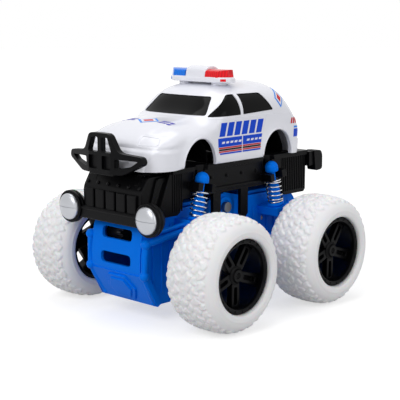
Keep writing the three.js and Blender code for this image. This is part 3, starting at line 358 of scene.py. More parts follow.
def cross_cut(bm, axis, places, merge=0.0):
    """Adds edge loops to a bmesh at places along an axis."""
    normal = Vector([float(i == axis) for i in range(3)])
    for place in places:
        geom = [*bm.verts, *bm.edges, *bm.faces]
        bmesh.ops.bisect_plane(bm, geom=geom, plane_co=normal * float(place), plane_no=normal, dist=merge)


def sliced(obj, axis, spacing=0.0, places=()):
    """Adds edge loops across an axis, at a spacing or at places in millimetres, for a smooth bend."""
    bm = bmesh.new()
    bm.from_mesh(obj.data)
    step = spacing * MM
    cuts = even_places(bm, axis, step / 2, step) if spacing else [place * MM for place in places]
    cross_cut(bm, axis, cuts, merge=1e-7)
    bm.to_mesh(obj.data)
    bm.free()
    return obj


def bent(obj, rule):
    """Moves each point, in millimetres, by a rule on the whole array of points."""
    co = np.zeros(len(obj.data.vertices) * 3)
    obj.data.vertices.foreach_get("co", co)
    co = rule(co.reshape(-1, 3) / MM) * MM
    obj.data.vertices.foreach_set("co", co.ravel())
    obj.data.update()
    return obj


def surface(obj):
    """A tree for rays onto an object's mesh."""
    bm = bmesh.new()
    bm.from_mesh(obj.data)
    tree = BVHTree.FromBMesh(bm)
    bm.free()
    return tree


def landed(tree, start, direction, lift):
    """Where a ray in millimetres meets a surface, lifted off it along its normal."""
    hit, normal, _, _ = tree.ray_cast(Vector(start) * MM, Vector(direction))
    if hit is None:
        raise RuntimeError(f"no surface below {tuple(start)}")
    if normal.dot(Vector(direction)) > 0:
        normal = -normal
    return hit / MM + normal * lift


# The ray that presses a point (a, b) onto each face of the shell
FACES = {
    "left": lambda a, b: ((60, a, b), (-1, 0, 0)),
    "right": lambda a, b: ((-60, a, b), (1, 0, 0)),
    "top": lambda a, b: ((a, b, 200), (0, 0, -1)),
    "front": lambda a, b: ((a, -90, b), (0, 1, 0)),
    "rear": lambda a, b: ((a, 90, b), (0, -1, 0)),
}


def stepped(points, spacing, closed):
    """The same path with its long stretches divided."""
    path = [*points, points[0]] if closed else list(points)
    divided = []
    for a, b in zip(path, path[1:]):
        count = max(1, math.ceil(math.dist(a, b) / spacing))
        divided += [tuple(np.array(a) + (np.array(b) - a) * k / count) for k in range(count)]
    return divided if closed else [*divided, path[-1]]


def moulded_line(tree, face, points, radius, closed=False, lift=0.0):
    """A fine raised line that follows one face of a surface."""
    path = [landed(tree, *FACES[face](a, b), lift) for a, b in stepped(points, 0.7, closed)]
    return rod("line", path, radius, closed, 8)


# Node trees


def add(tree, kind, inputs=None, **settings):
    """Adds a node with its settings, and sets or links its inputs."""
    node = tree.nodes.new(kind)
    for key, value in settings.items():
        setattr(node, key, value)
    for key, value in (inputs or {}).items():
        if isinstance(value, bpy.types.NodeSocket):
            tree.links.new(value, node.inputs[key])
        else:
            node.inputs[key].default_value = value
    return node


def geometry_tree(name, sockets):
    """A Geometry Nodes tree with named inputs, and its input node."""
    tree = bpy.data.node_groups.new(name, "GeometryNodeTree")
    tree.interface.new_socket(name="Geometry", in_out="OUTPUT", socket_type="NodeSocketGeometry")
    for label, kind in sockets:
        tree.interface.new_socket(name=label, in_out="INPUT", socket_type=f"NodeSocket{kind}")
    tree.interface.new_socket(name="Material", in_out="INPUT", socket_type="NodeSocketMaterial")
    return tree, add(tree, "NodeGroupInput")


def close_tree(tree, entry, geometry):
    """Ends a tree in Realize Instances and Set Material."""
    real = add(tree, "GeometryNodeRealizeInstances", {"Geometry": geometry})
    inputs = {"Geometry": real.outputs[0], "Material": entry.outputs["Material"]}
    made = add(tree, "GeometryNodeSetMaterial", inputs)
    add(tree, "NodeGroupOutput", {"Geometry": made.outputs[0]})
    return tree


def coil_tree():
    """A round wire wound into a coil along Z, with a closed ring at each end."""
    sockets = (("Turns", "Float"), ("Radius", "Float"), ("Height", "Float"), ("Wire", "Float"))
    tree, entry = geometry_tree("coil_spring", sockets)
    size = entry.outputs
    coil = add(
        tree,
        "GeometryNodeCurveSpiral",
        {
            "Resolution": 40,
            "Rotations": size["Turns"],
            "Start Radius": size["Radius"],
            "End Radius": size["Radius"],
            "Height": size["Height"],
        },
    )
    ring = add(tree, "GeometryNodeCurvePrimitiveCircle", {"Resolution": 40, "Radius": size["Radius"]})
    top = add(tree, "ShaderNodeCombineXYZ", {"Z": size["Height"]})
    upper = add(tree, "GeometryNodeTransform", {"Geometry": ring.outputs[0], "Translation": top.outputs[0]})
    paths = add(tree, "GeometryNodeJoinGeometry")
    for path in (upper, ring, coil):
        tree.links.new(path.outputs[0], paths.inputs[0])
    wire = add(tree, "GeometryNodeCurvePrimitiveCircle", {"Resolution": 10, "Radius": size["Wire"]})
    tube = add(
        tree,
        "GeometryNodeCurveToMesh",
        {"Curve": paths.outputs[0], "Profile Curve": wire.outputs[0], "Fill Caps": True},
    )
    return close_tree(tree, entry, tube.outputs[0])


def spread_part(tree, entry, points, **links):
    """Copies the tree's part onto points and ends the tree."""
    part = add(tree, "GeometryNodeObjectInfo", {"Object": entry.outputs["Part"]})
    inputs = {"Points": points, "Instance": part.outputs["Geometry"], **links}
    copies = add(tree, "GeometryNodeInstanceOnPoints", inputs)
    return close_tree(tree, entry, copies.outputs[0])


def ring_tree():
    """Copies of a part spread evenly round Z, each turned to face outward."""
    tree, entry = geometry_tree("ring_of_parts", (("Part", "Object"), ("Count", "Int"), ("Radius", "Float")))
    ring = add(
        tree,
        "GeometryNodeMeshCircle",
        {"Vertices": entry.outputs["Count"], "Radius": entry.outputs["Radius"]},
    )
    place = add(tree, "GeometryNodeInputPosition")
    turn = add(
        tree, "FunctionNodeAlignRotationToVector", {"Vector": place.outputs[0]}, axis="X", pivot_axis="Z"
    )
    return spread_part(tree, entry, ring.outputs[0], Rotation=turn.outputs[0])


def row_tree():
    """Copies of a part along a straight line between two places."""
    sockets = (("Part", "Object"), ("Count", "Int"), ("Start", "Vector"), ("End", "Vector"))
    tree, entry = geometry_tree("row_of_parts", sockets)
    size = entry.outputs
    inputs = {"Count": size["Count"], "Start Location": size["Start"], "Offset": size["End"]}
    line = add(tree, "GeometryNodeMeshLine", inputs, mode="END_POINTS")
    return spread_part(tree, entry, line.outputs[0])


TREES = {"coil_spring": coil_tree, "ring_of_parts": ring_tree, "row_of_parts": row_tree}


def grown(name, kind, values, part=None):
    """A plain mesh from a Geometry Nodes tree with its inputs set. The part it repeats is deleted."""
    tree = bpy.data.node_groups.get(kind) or TREES[kind]()
    obj = link(name, bpy.data.meshes.new(name))
    step = obj.modifiers.new(kind, "NODES")
    step.node_group = tree
    values = {**values, "Material": finish("black_abs")}
    if part is not None:
        values["Part"] = part
    for item in tree.interface.items_tree:
        if item.in_out == "INPUT" and item.name in values:
            step[item.identifier] = values[item.name]
    baked(obj)
    if part is not None:
        bpy.data.objects.remove(part)
    obj.data.materials.clear()
    return settle(obj, 40.0)


def row_of(name, part, count, start, end):
    """A part repeated in a row between two places in millimetres."""
    ends = {key: tuple(c * MM for c in place) for key, place in (("Start", start), ("End", end))}
    return grown(name, "row_of_parts", {"Count": count, **ends}, part)


# Finishes


def shader_of(name):
    """A new material and its node tree and shader."""
    material = bpy.data.materials.new(name)
    material.use_nodes = True
    return material, material.node_tree, material.node_tree.nodes["Principled BSDF"]


DRIFT_SIZE = 14.0  # millimetres over which a moulding's tone drifts
LENS_RIB = 1.3  # millimetres from rib to rib inside a lens


def moulded(name, colour, roughness, grain, depth, drift, **sockets):
    """A moulded plastic: a grain of a size and depth in millimetres, and a slow drift of tone."""
    material, tree, shader = shader_of(name)
    place = add(tree, "ShaderNodeTexCoord").outputs["Object"]
    fine = add(tree, "ShaderNodeTexNoise", {"Vector": place, "Scale": 1 / (grain * MM), "Detail": 3.0})
    slow = add(tree, "ShaderNodeTexNoise", {"Vector": place, "Scale": 1 / (DRIFT_SIZE * MM), "Detail": 2.0})
    dark = [c * (1 - drift) for c in colour]
    pale = [min(1.0, c * (1 + drift)) for c in colour]
    tone = add(
        tree, "ShaderNodeMix", {0: slow.outputs["Fac"], 6: (*dark, 1), 7: (*pale, 1)}, data_type="RGBA"
    )
    gloss = add(
        tree,
        "ShaderNodeMapRange",
        {"Value": fine.outputs["Fac"], "To Min": max(0.02, roughness - 0.05), "To Max": roughness + 0.05},
    )
    relief = add(
        tree, "ShaderNodeBump", {"Height": fine.outputs["Fac"], "Distance": depth * MM, "Strength": 0.6}
    )
    links = {"Base Color": tone.outputs[2], "Roughness": gloss.outputs[0], "Normal": relief.outputs[0]}
    for key, socket in links.items():
        tree.links.new(socket, shader.inputs[key])
    for key, value in sockets.items():
        shader.inputs[key.replace("_", " ")].default_value = value
    return material


def white_abs(colours):
    # Gloss white ABS from a polished tool: even colour, a faint orange-peel wave and a clear highlight.
    look = dict(roughness=0.2, grain=3.0, depth=0.012, drift=0.02)
    return moulded("white_abs", colours.white, **look, IOR=1.53, Coat_Weight=0.25)


def white_vinyl(colours):
    # Soft matt PVC of the tyres: it scatters a little light, so its grooves stay pale.
    look = dict(roughness=0.5, grain=0.7, depth=0.06, drift=0.03)
    return moulded(
        "white_vinyl", colours.tyre, **look, IOR=1.5, Subsurface_Weight=0.15, Subsurface_Scale=0.0015
    )


def black_abs(colours):
    # Spark-textured black ABS: a satin grain of about half a millimetre that breaks up the highlights.
    look = dict(roughness=0.34, grain=0.5, depth=0.02, drift=0.25)
    return moulded("black_abs", colours.black, **look, Specular_IOR_Level=0.08)


def black_polystyrene(colours):
    # Gloss black polystyrene of the windows, from a polished tool: near black, with clear reflections.
    look = dict(roughness=0.09, grain=6.0, depth=0.01, drift=0.2)
    return moulded("black_polystyrene", colours.glass, **look, Specular_IOR_Level=0.08)


def blue_polypropylene(colours):
    # Moulded polypropylene, a little waxy, with a fine grain and soft light in its thin edges.
    look = dict(roughness=0.3, grain=0.8, depth=0.015, drift=0.05)
    return moulded("blue_polypropylene", colours.blue, **look, Specular_IOR_Level=0.04)


def silver_lacquer(colours):
    # Sprayed silver lacquer over plastic: fine metal flakes, a soft broad highlight.
    look = dict(roughness=0.34, grain=0.25, depth=0.01, drift=0.06)
    return moulded("silver_lacquer", colours.silver, **look, Metallic=0.9)


def spring_steel(_colours):
    # Bright drawn wire: long draw lines are too fine to show, so only the gloss drifts.
    look = dict(roughness=0.2, grain=0.6, depth=0.004, drift=0.08)
    return moulded("spring_steel", linear("#C9CACC"), **look, Metallic=1.0)


def zinc_steel(_colours):
    # Dull zinc plate on the pins, axles and screws, greyer than the springs.
    look = dict(roughness=0.4, grain=0.5, depth=0.006, drift=0.1)
    return moulded("zinc_steel", linear("#85878B"), **look, Metallic=1.0)


def black_acetal(_colours):
    # Black acetal of the gears and drums: slippery, a little waxy, and dark behind the slots.
    look = dict(roughness=0.4, grain=0.9, depth=0.01, drift=0.1)
    return moulded("black_acetal", linear("#101116"), **look, Specular_IOR_Level=0.3)


def lens_of(name, colour):
    """A tinted clear moulding whose inside is ribbed as a fine bump, with upright bars of painted light and
    shade in its colour for the light that the ribs break up.
    """
    material, tree, shader = shader_of(name)
    place = add(tree, "ShaderNodeTexCoord").outputs["Object"]
    bands = 2 * math.pi / (20 * LENS_RIB * MM)
    inputs = {"Vector": place, "Scale": bands, "Distortion": 0.4, "Detail": 0.0}
    ribs = add(tree, "ShaderNodeTexWave", inputs, bands_direction="X")
    # Painted shade: the darker bars, a share of the lens colour, stand in for light that the inner ribs turn
    # away.
    painted_rib_shade = [c * 0.72 for c in colour]
    inputs = {0: ribs.outputs["Fac"], 6: (*painted_rib_shade, 1), 7: (*colour, 1)}
    tone = add(tree, "ShaderNodeMix", inputs, data_type="RGBA")
    relief = add(
        tree, "ShaderNodeBump", {"Height": ribs.outputs["Fac"], "Distance": 0.05 * MM, "Strength": 0.25}
    )
    tree.links.new(tone.outputs[2], shader.inputs["Base Color"])
    tree.links.new(relief.outputs[0], shader.inputs["Normal"])
    shader.inputs["Roughness"].default_value = 0.08
    shader.inputs["Specular IOR Level"].default_value = 0.25
    return material


def red_acrylic(colours):
    # Acrylic tinted red, moulded with ribs inside: painted upright bars of bright and deep red stand in for
    # the light that the ribs break up.
    return lens_of("red_acrylic", colours.red_lens)


def blue_acrylic(colours):
    # Acrylic tinted blue, moulded with ribs inside: painted upright bars of bright and deep blue stand in for
    # the light that the ribs break up.
    return lens_of("blue_acrylic", colours.blue_lens)


def ink(name, colour):
    """Pad-printed ink: a thin flat film whose edge pools a little, less glossy than the shell."""
    look = dict(roughness=0.34, grain=0.4, depth=0.006, drift=0.07)
    return moulded(name, colour, **look, Specular_IOR_Level=0.12)


FINISHES = {
    "white_abs": white_abs,
    "white_vinyl": white_vinyl,
    "black_abs": black_abs,
    "black_polystyrene": black_polystyrene,
    "blue_polypropylene": blue_polypropylene,
    "silver_lacquer": silver_lacquer,
    "spring_steel": spring_steel,
    "zinc_steel": zinc_steel,
    "black_acetal": black_acetal,
    "red_acrylic": red_acrylic,
    "blue_acrylic": blue_acrylic,
    "blue_ink": lambda colours: ink("blue_ink", colours.print_blue),
    "sky_ink": lambda colours: ink("sky_ink", colours.print_sky),
    "red_ink": lambda colours: ink("red_ink", colours.print_red),
    "dark_ink": lambda colours: ink("dark_ink", colours.print_dark),
    "violet_ink": lambda colours: ink("violet_ink", colours.print_violet),
    "white_ink": lambda colours: ink("white_ink", colours.white),
}


def finish(name):
    """A finish by name, made when it is first asked for."""
    colours = bpy.context.scene.stunt_car.colours
    return bpy.data.materials.get(name) or FINISHES[name](colours)


def fit(obj, body, finish_name, *nodes):
    """Gives a finished piece its material and body, and hides the CAD nodes that it stands for."""
    obj.data.materials.clear()
    obj.data.materials.append(finish(finish_name))
    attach(obj, body)
    if nodes:
        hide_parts(*nodes)
    return obj


def coat(node, finish_name):
    """Gives a CAD node that stays in view its finish."""
    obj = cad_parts[node]
    obj.data.materials.clear()
    obj.data.materials.append(finish(finish_name))


# Body shell: the same form as the frame's shell, with finer sections

FOOT, HALF_WIDTH, WALL = 80.5, 30.0, 1.5
NOSE, TAIL = -62.0, 52.4
ARCHES, ARCH_LENGTH, ARCH_HEIGHT = (-31.0, 31.0), 12.0, 14.5
SCREW_PLACES = (-37, 43)
TOP_LINE = (
    (-62, 86.5),
    (-58.6, 95),
    (-46, 101.3),
    (-24.5, 104.9),
    (-9.6, 116.8),
    (4, 120.6),
    (33, 120.2),
    (46.4, 107.6),
    (52, 96),
    (53.2, 88),
)
SIDE_WINDOWS = (
    ((-20.4, 104.6, 1), (-5.2, 115.5, 1.4), (-0.8, 115.7, 0.6), (0.4, 104.9, 0.6)),
    ((1.6, 115.7, 0.6), (18.6, 115.6, 1.5), (27, 106, 1), (2, 105, 0.6)),
)
WINDSCREEN = ((-23.2, 105.2, 1.4), (23.2, 105.2, 1.4), (19.2, 114.6, 1.6), (-19.2, 114.6, 1.6))
REAR_WINDOW = ((-21, 104.4, 2), (21, 104.4, 2), (18, 114.4, 2), (-18, 114.4, 2))


def top_points(spacing):
    """The shell's top line as evenly spaced (y, z) points of a smooth curve."""
    knots = np.array(TOP_LINE, float)
    dense = []
    last = len(knots) - 1
    for i in range(last):
        p0, p1, p2, p3 = (knots[min(max(k, 0), last)] for k in range(i - 1, i + 3))
        v0, v1 = (p2 - p0) / 2, (p3 - p1) / 2
        for t in np.linspace(0, 1, 60, endpoint=i == last - 1):
            dense.append(
                (2 * p1 - 2 * p2 + v0 + v1) * t**3 + (-3 * p1 + 3 * p2 - 2 * v0 - v1) * t**2 + v0 * t + p1
            )
    dense = np.array(dense)
    run = np.concatenate([[0], np.cumsum(np.hypot(*np.diff(dense, axis=0).T))])
    at = np.linspace(0, run[-1], int(run[-1] / spacing) + 1)
    return np.stack([np.interp(at, run, dense[:, k]) for k in (0, 1)], -1)


def plan_half_width(y, half):
    """How wide the plan is at a place along the car."""
    # Superellipse ends, rounder at the nose than at the tail
    middle, reach = (TAIL + NOSE) / 2, (TAIL - NOSE) / 2 + 2
    share = min(1.0, abs(y - middle) / reach)
    return half * (1 - share**11) ** 0.28 if y < middle else half * (1 - share**22) ** 0.22


def shell_ring(y, top, half, foot, side, arc):
    """One upright section of the shell, from the left foot over the roof to the right foot."""
    width = plan_half_width(y, half)
    belt = FOOT + (top - FOOT) * 0.6
    rise = np.linspace(0, 1, side, endpoint=False)
    flank = [(width - 0.8 * (1 - t), foot + (belt - foot) * t) for t in rise]
    turn = np.linspace(0, math.pi, arc + 1)
    across = np.sign(np.cos(turn)) * np.abs(np.cos(turn)) ** (2 / 3.3)
    up = np.abs(np.sin(turn)) ** (2 / 2.3)
    roof = list(zip(width * across, belt + (top - belt) * up))
    return [(x, y, z) for x, z in flank + roof + [(-x, z) for x, z in reversed(flank)]]


def shell_form(name, drawn_in, foot, spacing=0.8, side=14, arc=60, rounded=0.0):
    """The shell's outer form drawn in by a distance, with its ends rounded over."""
    line = top_points(spacing)
    first, last = line[0, 0], line[-1, 0]
    squeeze = (last - first - 2 * drawn_in) / (last - first)
    rings = []
    for y, top in line:
        place = first + drawn_in + (y - first) * squeeze
        rings.append((place, top - 1.15 * drawn_in, HALF_WIDTH - drawn_in))
    if rounded:
        for end, sign in ((0, -1), (-1, 1)):
            y, top, half = rings[end]
            for turn in np.radians((30, 55, 75)):
                inset = rounded * (1 - math.cos(turn))
                extra = (y, top - inset, half - inset, sign * rounded * math.sin(turn))
                rings.insert(0 if end == 0 else len(rings), extra)
    built = []
    for ring in rings:
        push = ring[3] if len(ring) > 3 else 0.0
        built.append([(x, y + push, z) for x, y, z in shell_ring(*ring[:3], foot, side, arc)])
    return skin(name, built)


def smooth_step(low, high, value):
    """A smooth rise from 0 to 1 between two values."""
    t = np.clip((value - low) / (high - low), 0, 1)
    return t * t * (3 - 2 * t)


def sculpt(obj, flare):
    """Swells the arches and steps out the lower nose, sills and tail of the shell."""
    co = np.zeros(len(obj.data.vertices) * 3)
    obj.data.vertices.foreach_get("co", co)
    normals = np.zeros(len(co))
    obj.data.vertices.foreach_get("normal", normals)
    co, normals = co.reshape(-1, 3) / MM, normals.reshape(-1, 3)
    x, y, z = co.T
    push = np.zeros(len(co))
    side = smooth_step(18, 24, np.abs(x)) * (z > FOOT + 0.05)
    # A flare round each arch
    for arch in ARCHES:
        ring = np.hypot((y - arch) / ARCH_LENGTH, (z - FOOT) / ARCH_HEIGHT)
        push += flare * np.exp(-(((ring - 1.05) / 0.16) ** 2)) * side
    # The bumper's step on the nose, with a groove above it, and the sunk headlamps
    nose = smooth_step(-42, -50, y)
    push += 0.7 * nose * smooth_step(90.6, 89.4, z)
    push -= 0.5 * nose * np.exp(-(((z - 91.2) / 0.7) ** 2))
    lamp = smooth_step(12.5, 14, np.abs(x)) * smooth_step(26.5, 25, np.abs(x))
    push -= 0.45 * nose * lamp * smooth_step(92.2, 93, z) * smooth_step(97.8, 97, z)
    # The steps of the tail and the sills, and the raised middle of the hood
    tail = smooth_step(40, 48, y)
    push += 0.6 * tail * smooth_step(88.6, 87.4, z)
    sill = smooth_step(19, 17, np.abs(y)) * (np.abs(x) > 20)
    push += 0.5 * sill * smooth_step(84.4, 83.4, z) * (z > FOOT + 0.05)
    hood = smooth_step(-56, -50, y) * smooth_step(-23, -28, y) * (z > 92)
    push += 0.35 * hood * smooth_step(16.5, 15, np.abs(x))
    co += normals * push[:, None]
    obj.data.vertices.foreach_set("co", (co * MM).ravel())
    obj.data.update()
    return obj


def window_tools(drawn_in):
    """The window openings as prisms through the cabin, drawn in by a clearance."""

    def shrunk(corners):
        points = np.array([c[:2] for c in corners], float)
        centre = points.mean(0)
        reach = np.abs(points - centre).max(0)
        small = centre + (points - centre) * (1 - drawn_in / reach)
        return outline([(*p, c[2]) for p, c in zip(small, corners)])

    tools = []
    for corners in SIDE_WINDOWS:
        tools += [prism("window", shrunk(corners), "x", *span) for span in ((14, 34), (-34, -14))]
    tools.append(prism("window", shrunk(WINDSCREEN), "y", -34, -2))
    tools.append(prism("window", shrunk(REAR_WINDOW), "y", 30, 57))
    return tools


class STUNT_CAR_OT_body_shell(bpy.types.Operator):
    """Lofts the shell, cuts its windows and wheel arches and adds its rolled lips and moulded lines"""

    bl_idname = "stunt_car.body_shell"
    bl_label = "Body shell"

    def execute(self, context):
        sizes = context.scene.stunt_car.sizes
        shell = sculpt(shell_form("shell_moulding", 0, FOOT, rounded=1.4), sizes.flare / MM)
        skin_tree = surface(shell)
        lips, lines = [], []
        for arch in ARCHES:
            for hand in HANDS:
                path = []
                for turn in np.linspace(0.02, math.pi - 0.02, 48):
                    y = arch + (ARCH_LENGTH + 0.35) * math.cos(turn)
                    z = FOOT + (ARCH_HEIGHT + 0.35) * math.sin(turn)
                    path.append(landed(skin_tree, (hand * 60, y, z), (-hand, 0, 0), -0.25))
                lips.append(rod("lip", path, sizes.arch_lip / MM, sides=16))
        for hand in HANDS:
            lamp = handed(hand, ((12.6, 97, 1.5), (23.6, 96.2, 1.5), (25.4, 93, 1), (14, 92.6, 1)))
            lines.append(moulded_line(skin_tree, "front", outline(lamp), 0.25, True))
        for z in (88.2, 86.2, 84.2):
            lines.append(moulded_line(skin_tree, "front", [(-12, z), (12, z)], 0.35, lift=-0.1))
        plate = outline([(-9, 90.2, 1), (9, 90.2, 1), (9, 95, 1), (-9, 95, 1)])
        lines.append(moulded_line(skin_tree, "rear", plate, 0.3, True))
        for hand in HANDS:
            frame_line = [(17.5, 88.7, 0.8), (24.5, 88.7, 0.8), (23.9, 97, 0.8), (17.5, 97, 0.8)]
            frame_line = outline(handed(hand, frame_line))
            lines.append(moulded_line(skin_tree, "rear", frame_line, 0.28, True))
        for side in ("left", "right"):
            lines += [
                moulded_line(skin_tree, side, [(-21, 103.6), (28, 103.8), (44, 102.4)], 0.22, lift=-0.05),
                moulded_line(skin_tree, side, [(-18.6, 97), (-17.8, 103.5)], 0.16),
                moulded_line(skin_tree, side, [(19.2, 97), (21, 103.7)], 0.16),
                moulded_line(skin_tree, side, [(-5, 102.5), (-1.6, 102.55)], 0.42),
                moulded_line(skin_tree, side, [(13, 102.6), (16.4, 102.65)], 0.42),
            ]
        inner = shell_form("inner", WALL, FOOT - 4, spacing=2.0, side=6, arc=28)
        arches = []
        for arch in ARCHES:
            turns = np.linspace(0, 2 * math.pi, 72, endpoint=False)
            ring = oval((arch, FOOT), (ARCH_LENGTH, ARCH_HEIGHT), turns)
            arches.append(prism("arch", ring, "x", -36, 36))
        carve(shell, arches)
        carve(shell, [inner, *window_tools(0)])
        profile = [(1.3, 80), (2.8, 80), (3, 80.2), (3, 96), (1.3, 96)]
        bosses = [lathe("boss", profile, Matrix.Translation((0, y, 0)), 32, loop=True) for y in SCREW_PLACES]
        shell = join("shell_moulding_white", [shell, *lips, *lines, *bosses])
        fit(shell, "chassis", "white_abs", "body_shell")
        return {"FINISHED"}


class STUNT_CAR_OT_windows(bpy.types.Operator):
    """Fills the window openings with dark glossy panes"""

    bl_idname = "stunt_car.windows"
    bl_label = "Windows"

    def execute(self, context):
        panes = []
        for tool in window_tools(0.15):
            pane = shell_form("pane", 0.35, FOOT, spacing=1.2, side=8, arc=44)
            carve(pane, [shell_form("core", 2.2, FOOT - 4, spacing=2.0, side=6, arc=28)])
            panes.append(soften(carve(pane, [tool], "INTERSECT"), 0.18, 2))
        fit(join("window_panes", panes), "chassis", "black_polystyrene", "window_insert")
        return {"FINISHED"}


# Livery: plain bars, stripes and diamonds

DOOR_GAP = (1.4, 2.2)
# Bars over both doors: ink, foot, top, and the places of the front and the rear end at foot and top
DOOR_BARS = (
    ("blue_ink", 88.9, 93.6, (-17.2, -17.6), (17.2, 17.9)),
    ("blue_ink", 84.9, 85.7, (-15.6, -16), (16.5, 16.7)),
    ("red_ink", 88, 88.7, (-16.8, -16.9), (16.8, 16.9)),
    ("red_ink", 86, 86.7, (-16.8, -16.9), (16.8, 16.9)),
    ("dark_ink", 86.9, 87.8, (-16.8, -16.8), (16.8, 16.9)),
)
# Diamonds laid on one another, outermost first: ink, half width and half height
SIDE_DIAMONDS = (("sky_ink", 3.9, 5.4), ("white_ink", 2.9, 4.0), ("red_ink", 1.7, 2.4))
HOOD_DIAMONDS = (("sky_ink", 8, 5.8), ("white_ink", 6.2, 4.5), ("red_ink", 4.0, 2.9))


def slanted(y, z, width, height, lean):
    """A bar that leans along the car."""
    return [(y, z), (y + width, z), (y + width + lean, z + height), (y + lean, z + height)]


def diamond(a, b, half_width, half_height):
    """A plain diamond."""
    return [(a - half_width, b), (a, b - half_height), (a + half_width, b), (a, b + half_height)]


def door_bars(low, high, front, rear):
    """A bar over both doors, split at the gap between them, with its ends' places at foot and top."""
    first, second = DOOR_GAP
    return [
        [(front[0], low), (first, low), (first, high), (front[1], high)],
        [(second, low), (rear[0], low), (rear[1], high), (second, high)],
    ]


def film(shapes, tree, thickness, lift):
    """A thin print on the shell. A shape is (face, points), and is pressed on from its face."""
    bm = bmesh.new()
    for face, points in shapes:
        flat = bmesh.new()
        flat.faces.new([flat.verts.new((a, b, 0)) for a, b in points])
        for axis in (0, 1):
            cross_cut(flat, axis, even_places(flat, axis, 0.55, 0.6))
        for v in flat.verts:
            start, direction = FACES[face](v.co.x, v.co.y)
            v.co = landed(tree, start, direction, lift) * MM
        outward = -Vector(FACES[face](0, 0)[1])
        flat.normal_update()
        for f in flat.faces:
            if f.normal.dot(outward) < 0:
                f.normal_flip()
        mesh = bpy.data.meshes.new("film")
        flat.to_mesh(mesh)
        flat.free()
        bm.from_mesh(mesh)
        bpy.data.meshes.remove(mesh)
    mesh = bpy.data.meshes.new("film")
    bm.to_mesh(mesh)
    bm.free()
    obj = link("film", mesh)
    wall = obj.modifiers.new("wall", "SOLIDIFY")
    wall.thickness = thickness
    wall.offset = 1.0
    return baked(obj, SHARP)


class STUNT_CAR_OT_livery(bpy.types.Operator):
    """Prints a generic livery of bars, stripes and diamonds on the shell"""

    bl_idname = "stunt_car.livery"
    bl_label = "Livery"

    def execute(self, context):
        tree = surface(bpy.data.objects["shell_moulding_white"])
        names = ("blue_ink", "sky_ink", "red_ink", "dark_ink", "white_ink", "violet_ink")
        prints = {name: [] for name in names}
        for side in ("left", "right"):
            prints["blue_ink"] += [(side, slanted(-16.8 + 5.9 * i, 94.4, 4.5, 7.2, 1.6)) for i in range(6)]
            for name, *bar in DOOR_BARS:
                prints[name] += [(side, half) for half in door_bars(*bar)]
            prints["blue_ink"].append((side, [(45.4, 89.4), (50.6, 89.4), (50.2, 94), (45.4, 94)]))
            dashes = [-14.6 + 3.3 * i for i in range(10) if i != 5]
            prints["white_ink"] += [(side, slanted(y, 90.6, 2.1, 1.1, 0.4)) for y in dashes]
            for name, *halves in SIDE_DIAMONDS:
                prints[name].append((side, diamond(33.4, 112.0, *halves)))
            prints["sky_ink"].append((side, [(45.4, 94.5), (50.1, 94.5), (49.9, 95.6), (45.4, 95.6)]))
            prints["red_ink"] += [(side, slanted(42.2 + 1.9 * i, 97.2, 1.1, 3.2, 0.4)) for i in range(3)]
        for name, *halves in HOOD_DIAMONDS:
            prints[name].append(("top", diamond(0, -39, *halves)))
        for hand in HANDS:
            for y in (-41.4, -38.6):
                bars = [slanted(9.0 + 3.1 * i, y, 2.3, 1.9, 0.4) for i in range(3)]
                prints["violet_ink"] += [("top", handed(hand, bar)) for bar in bars]
        thickness = context.scene.stunt_car.sizes.film
        over = {"white_ink": 0.06, "red_ink": 0.1}
        for name, shapes in prints.items():
            obj = film(shapes, tree, thickness, 0.03 + over.get(name, 0.0))
            obj.name = "livery_" + name
            fit(obj, "chassis", name)
        pads = [
            [(18.2, 92.3), (23.6, 92.3), (23.2, 96.3), (18.2, 96.3)],
            [(18.2, 89.4), (23.8, 89.4), (23.6, 91.7), (18.2, 91.7)],
        ]
        lamps = [("rear", handed(hand, pad)) for pad in pads for hand in HANDS]
        lenses = soften(film(lamps, tree, 0.5 * MM, -0.1), 0.16, 2)
        lenses.name = "tail_lamps"
        fit(lenses, "chassis", "red_acrylic")
        return {"FINISHED"}


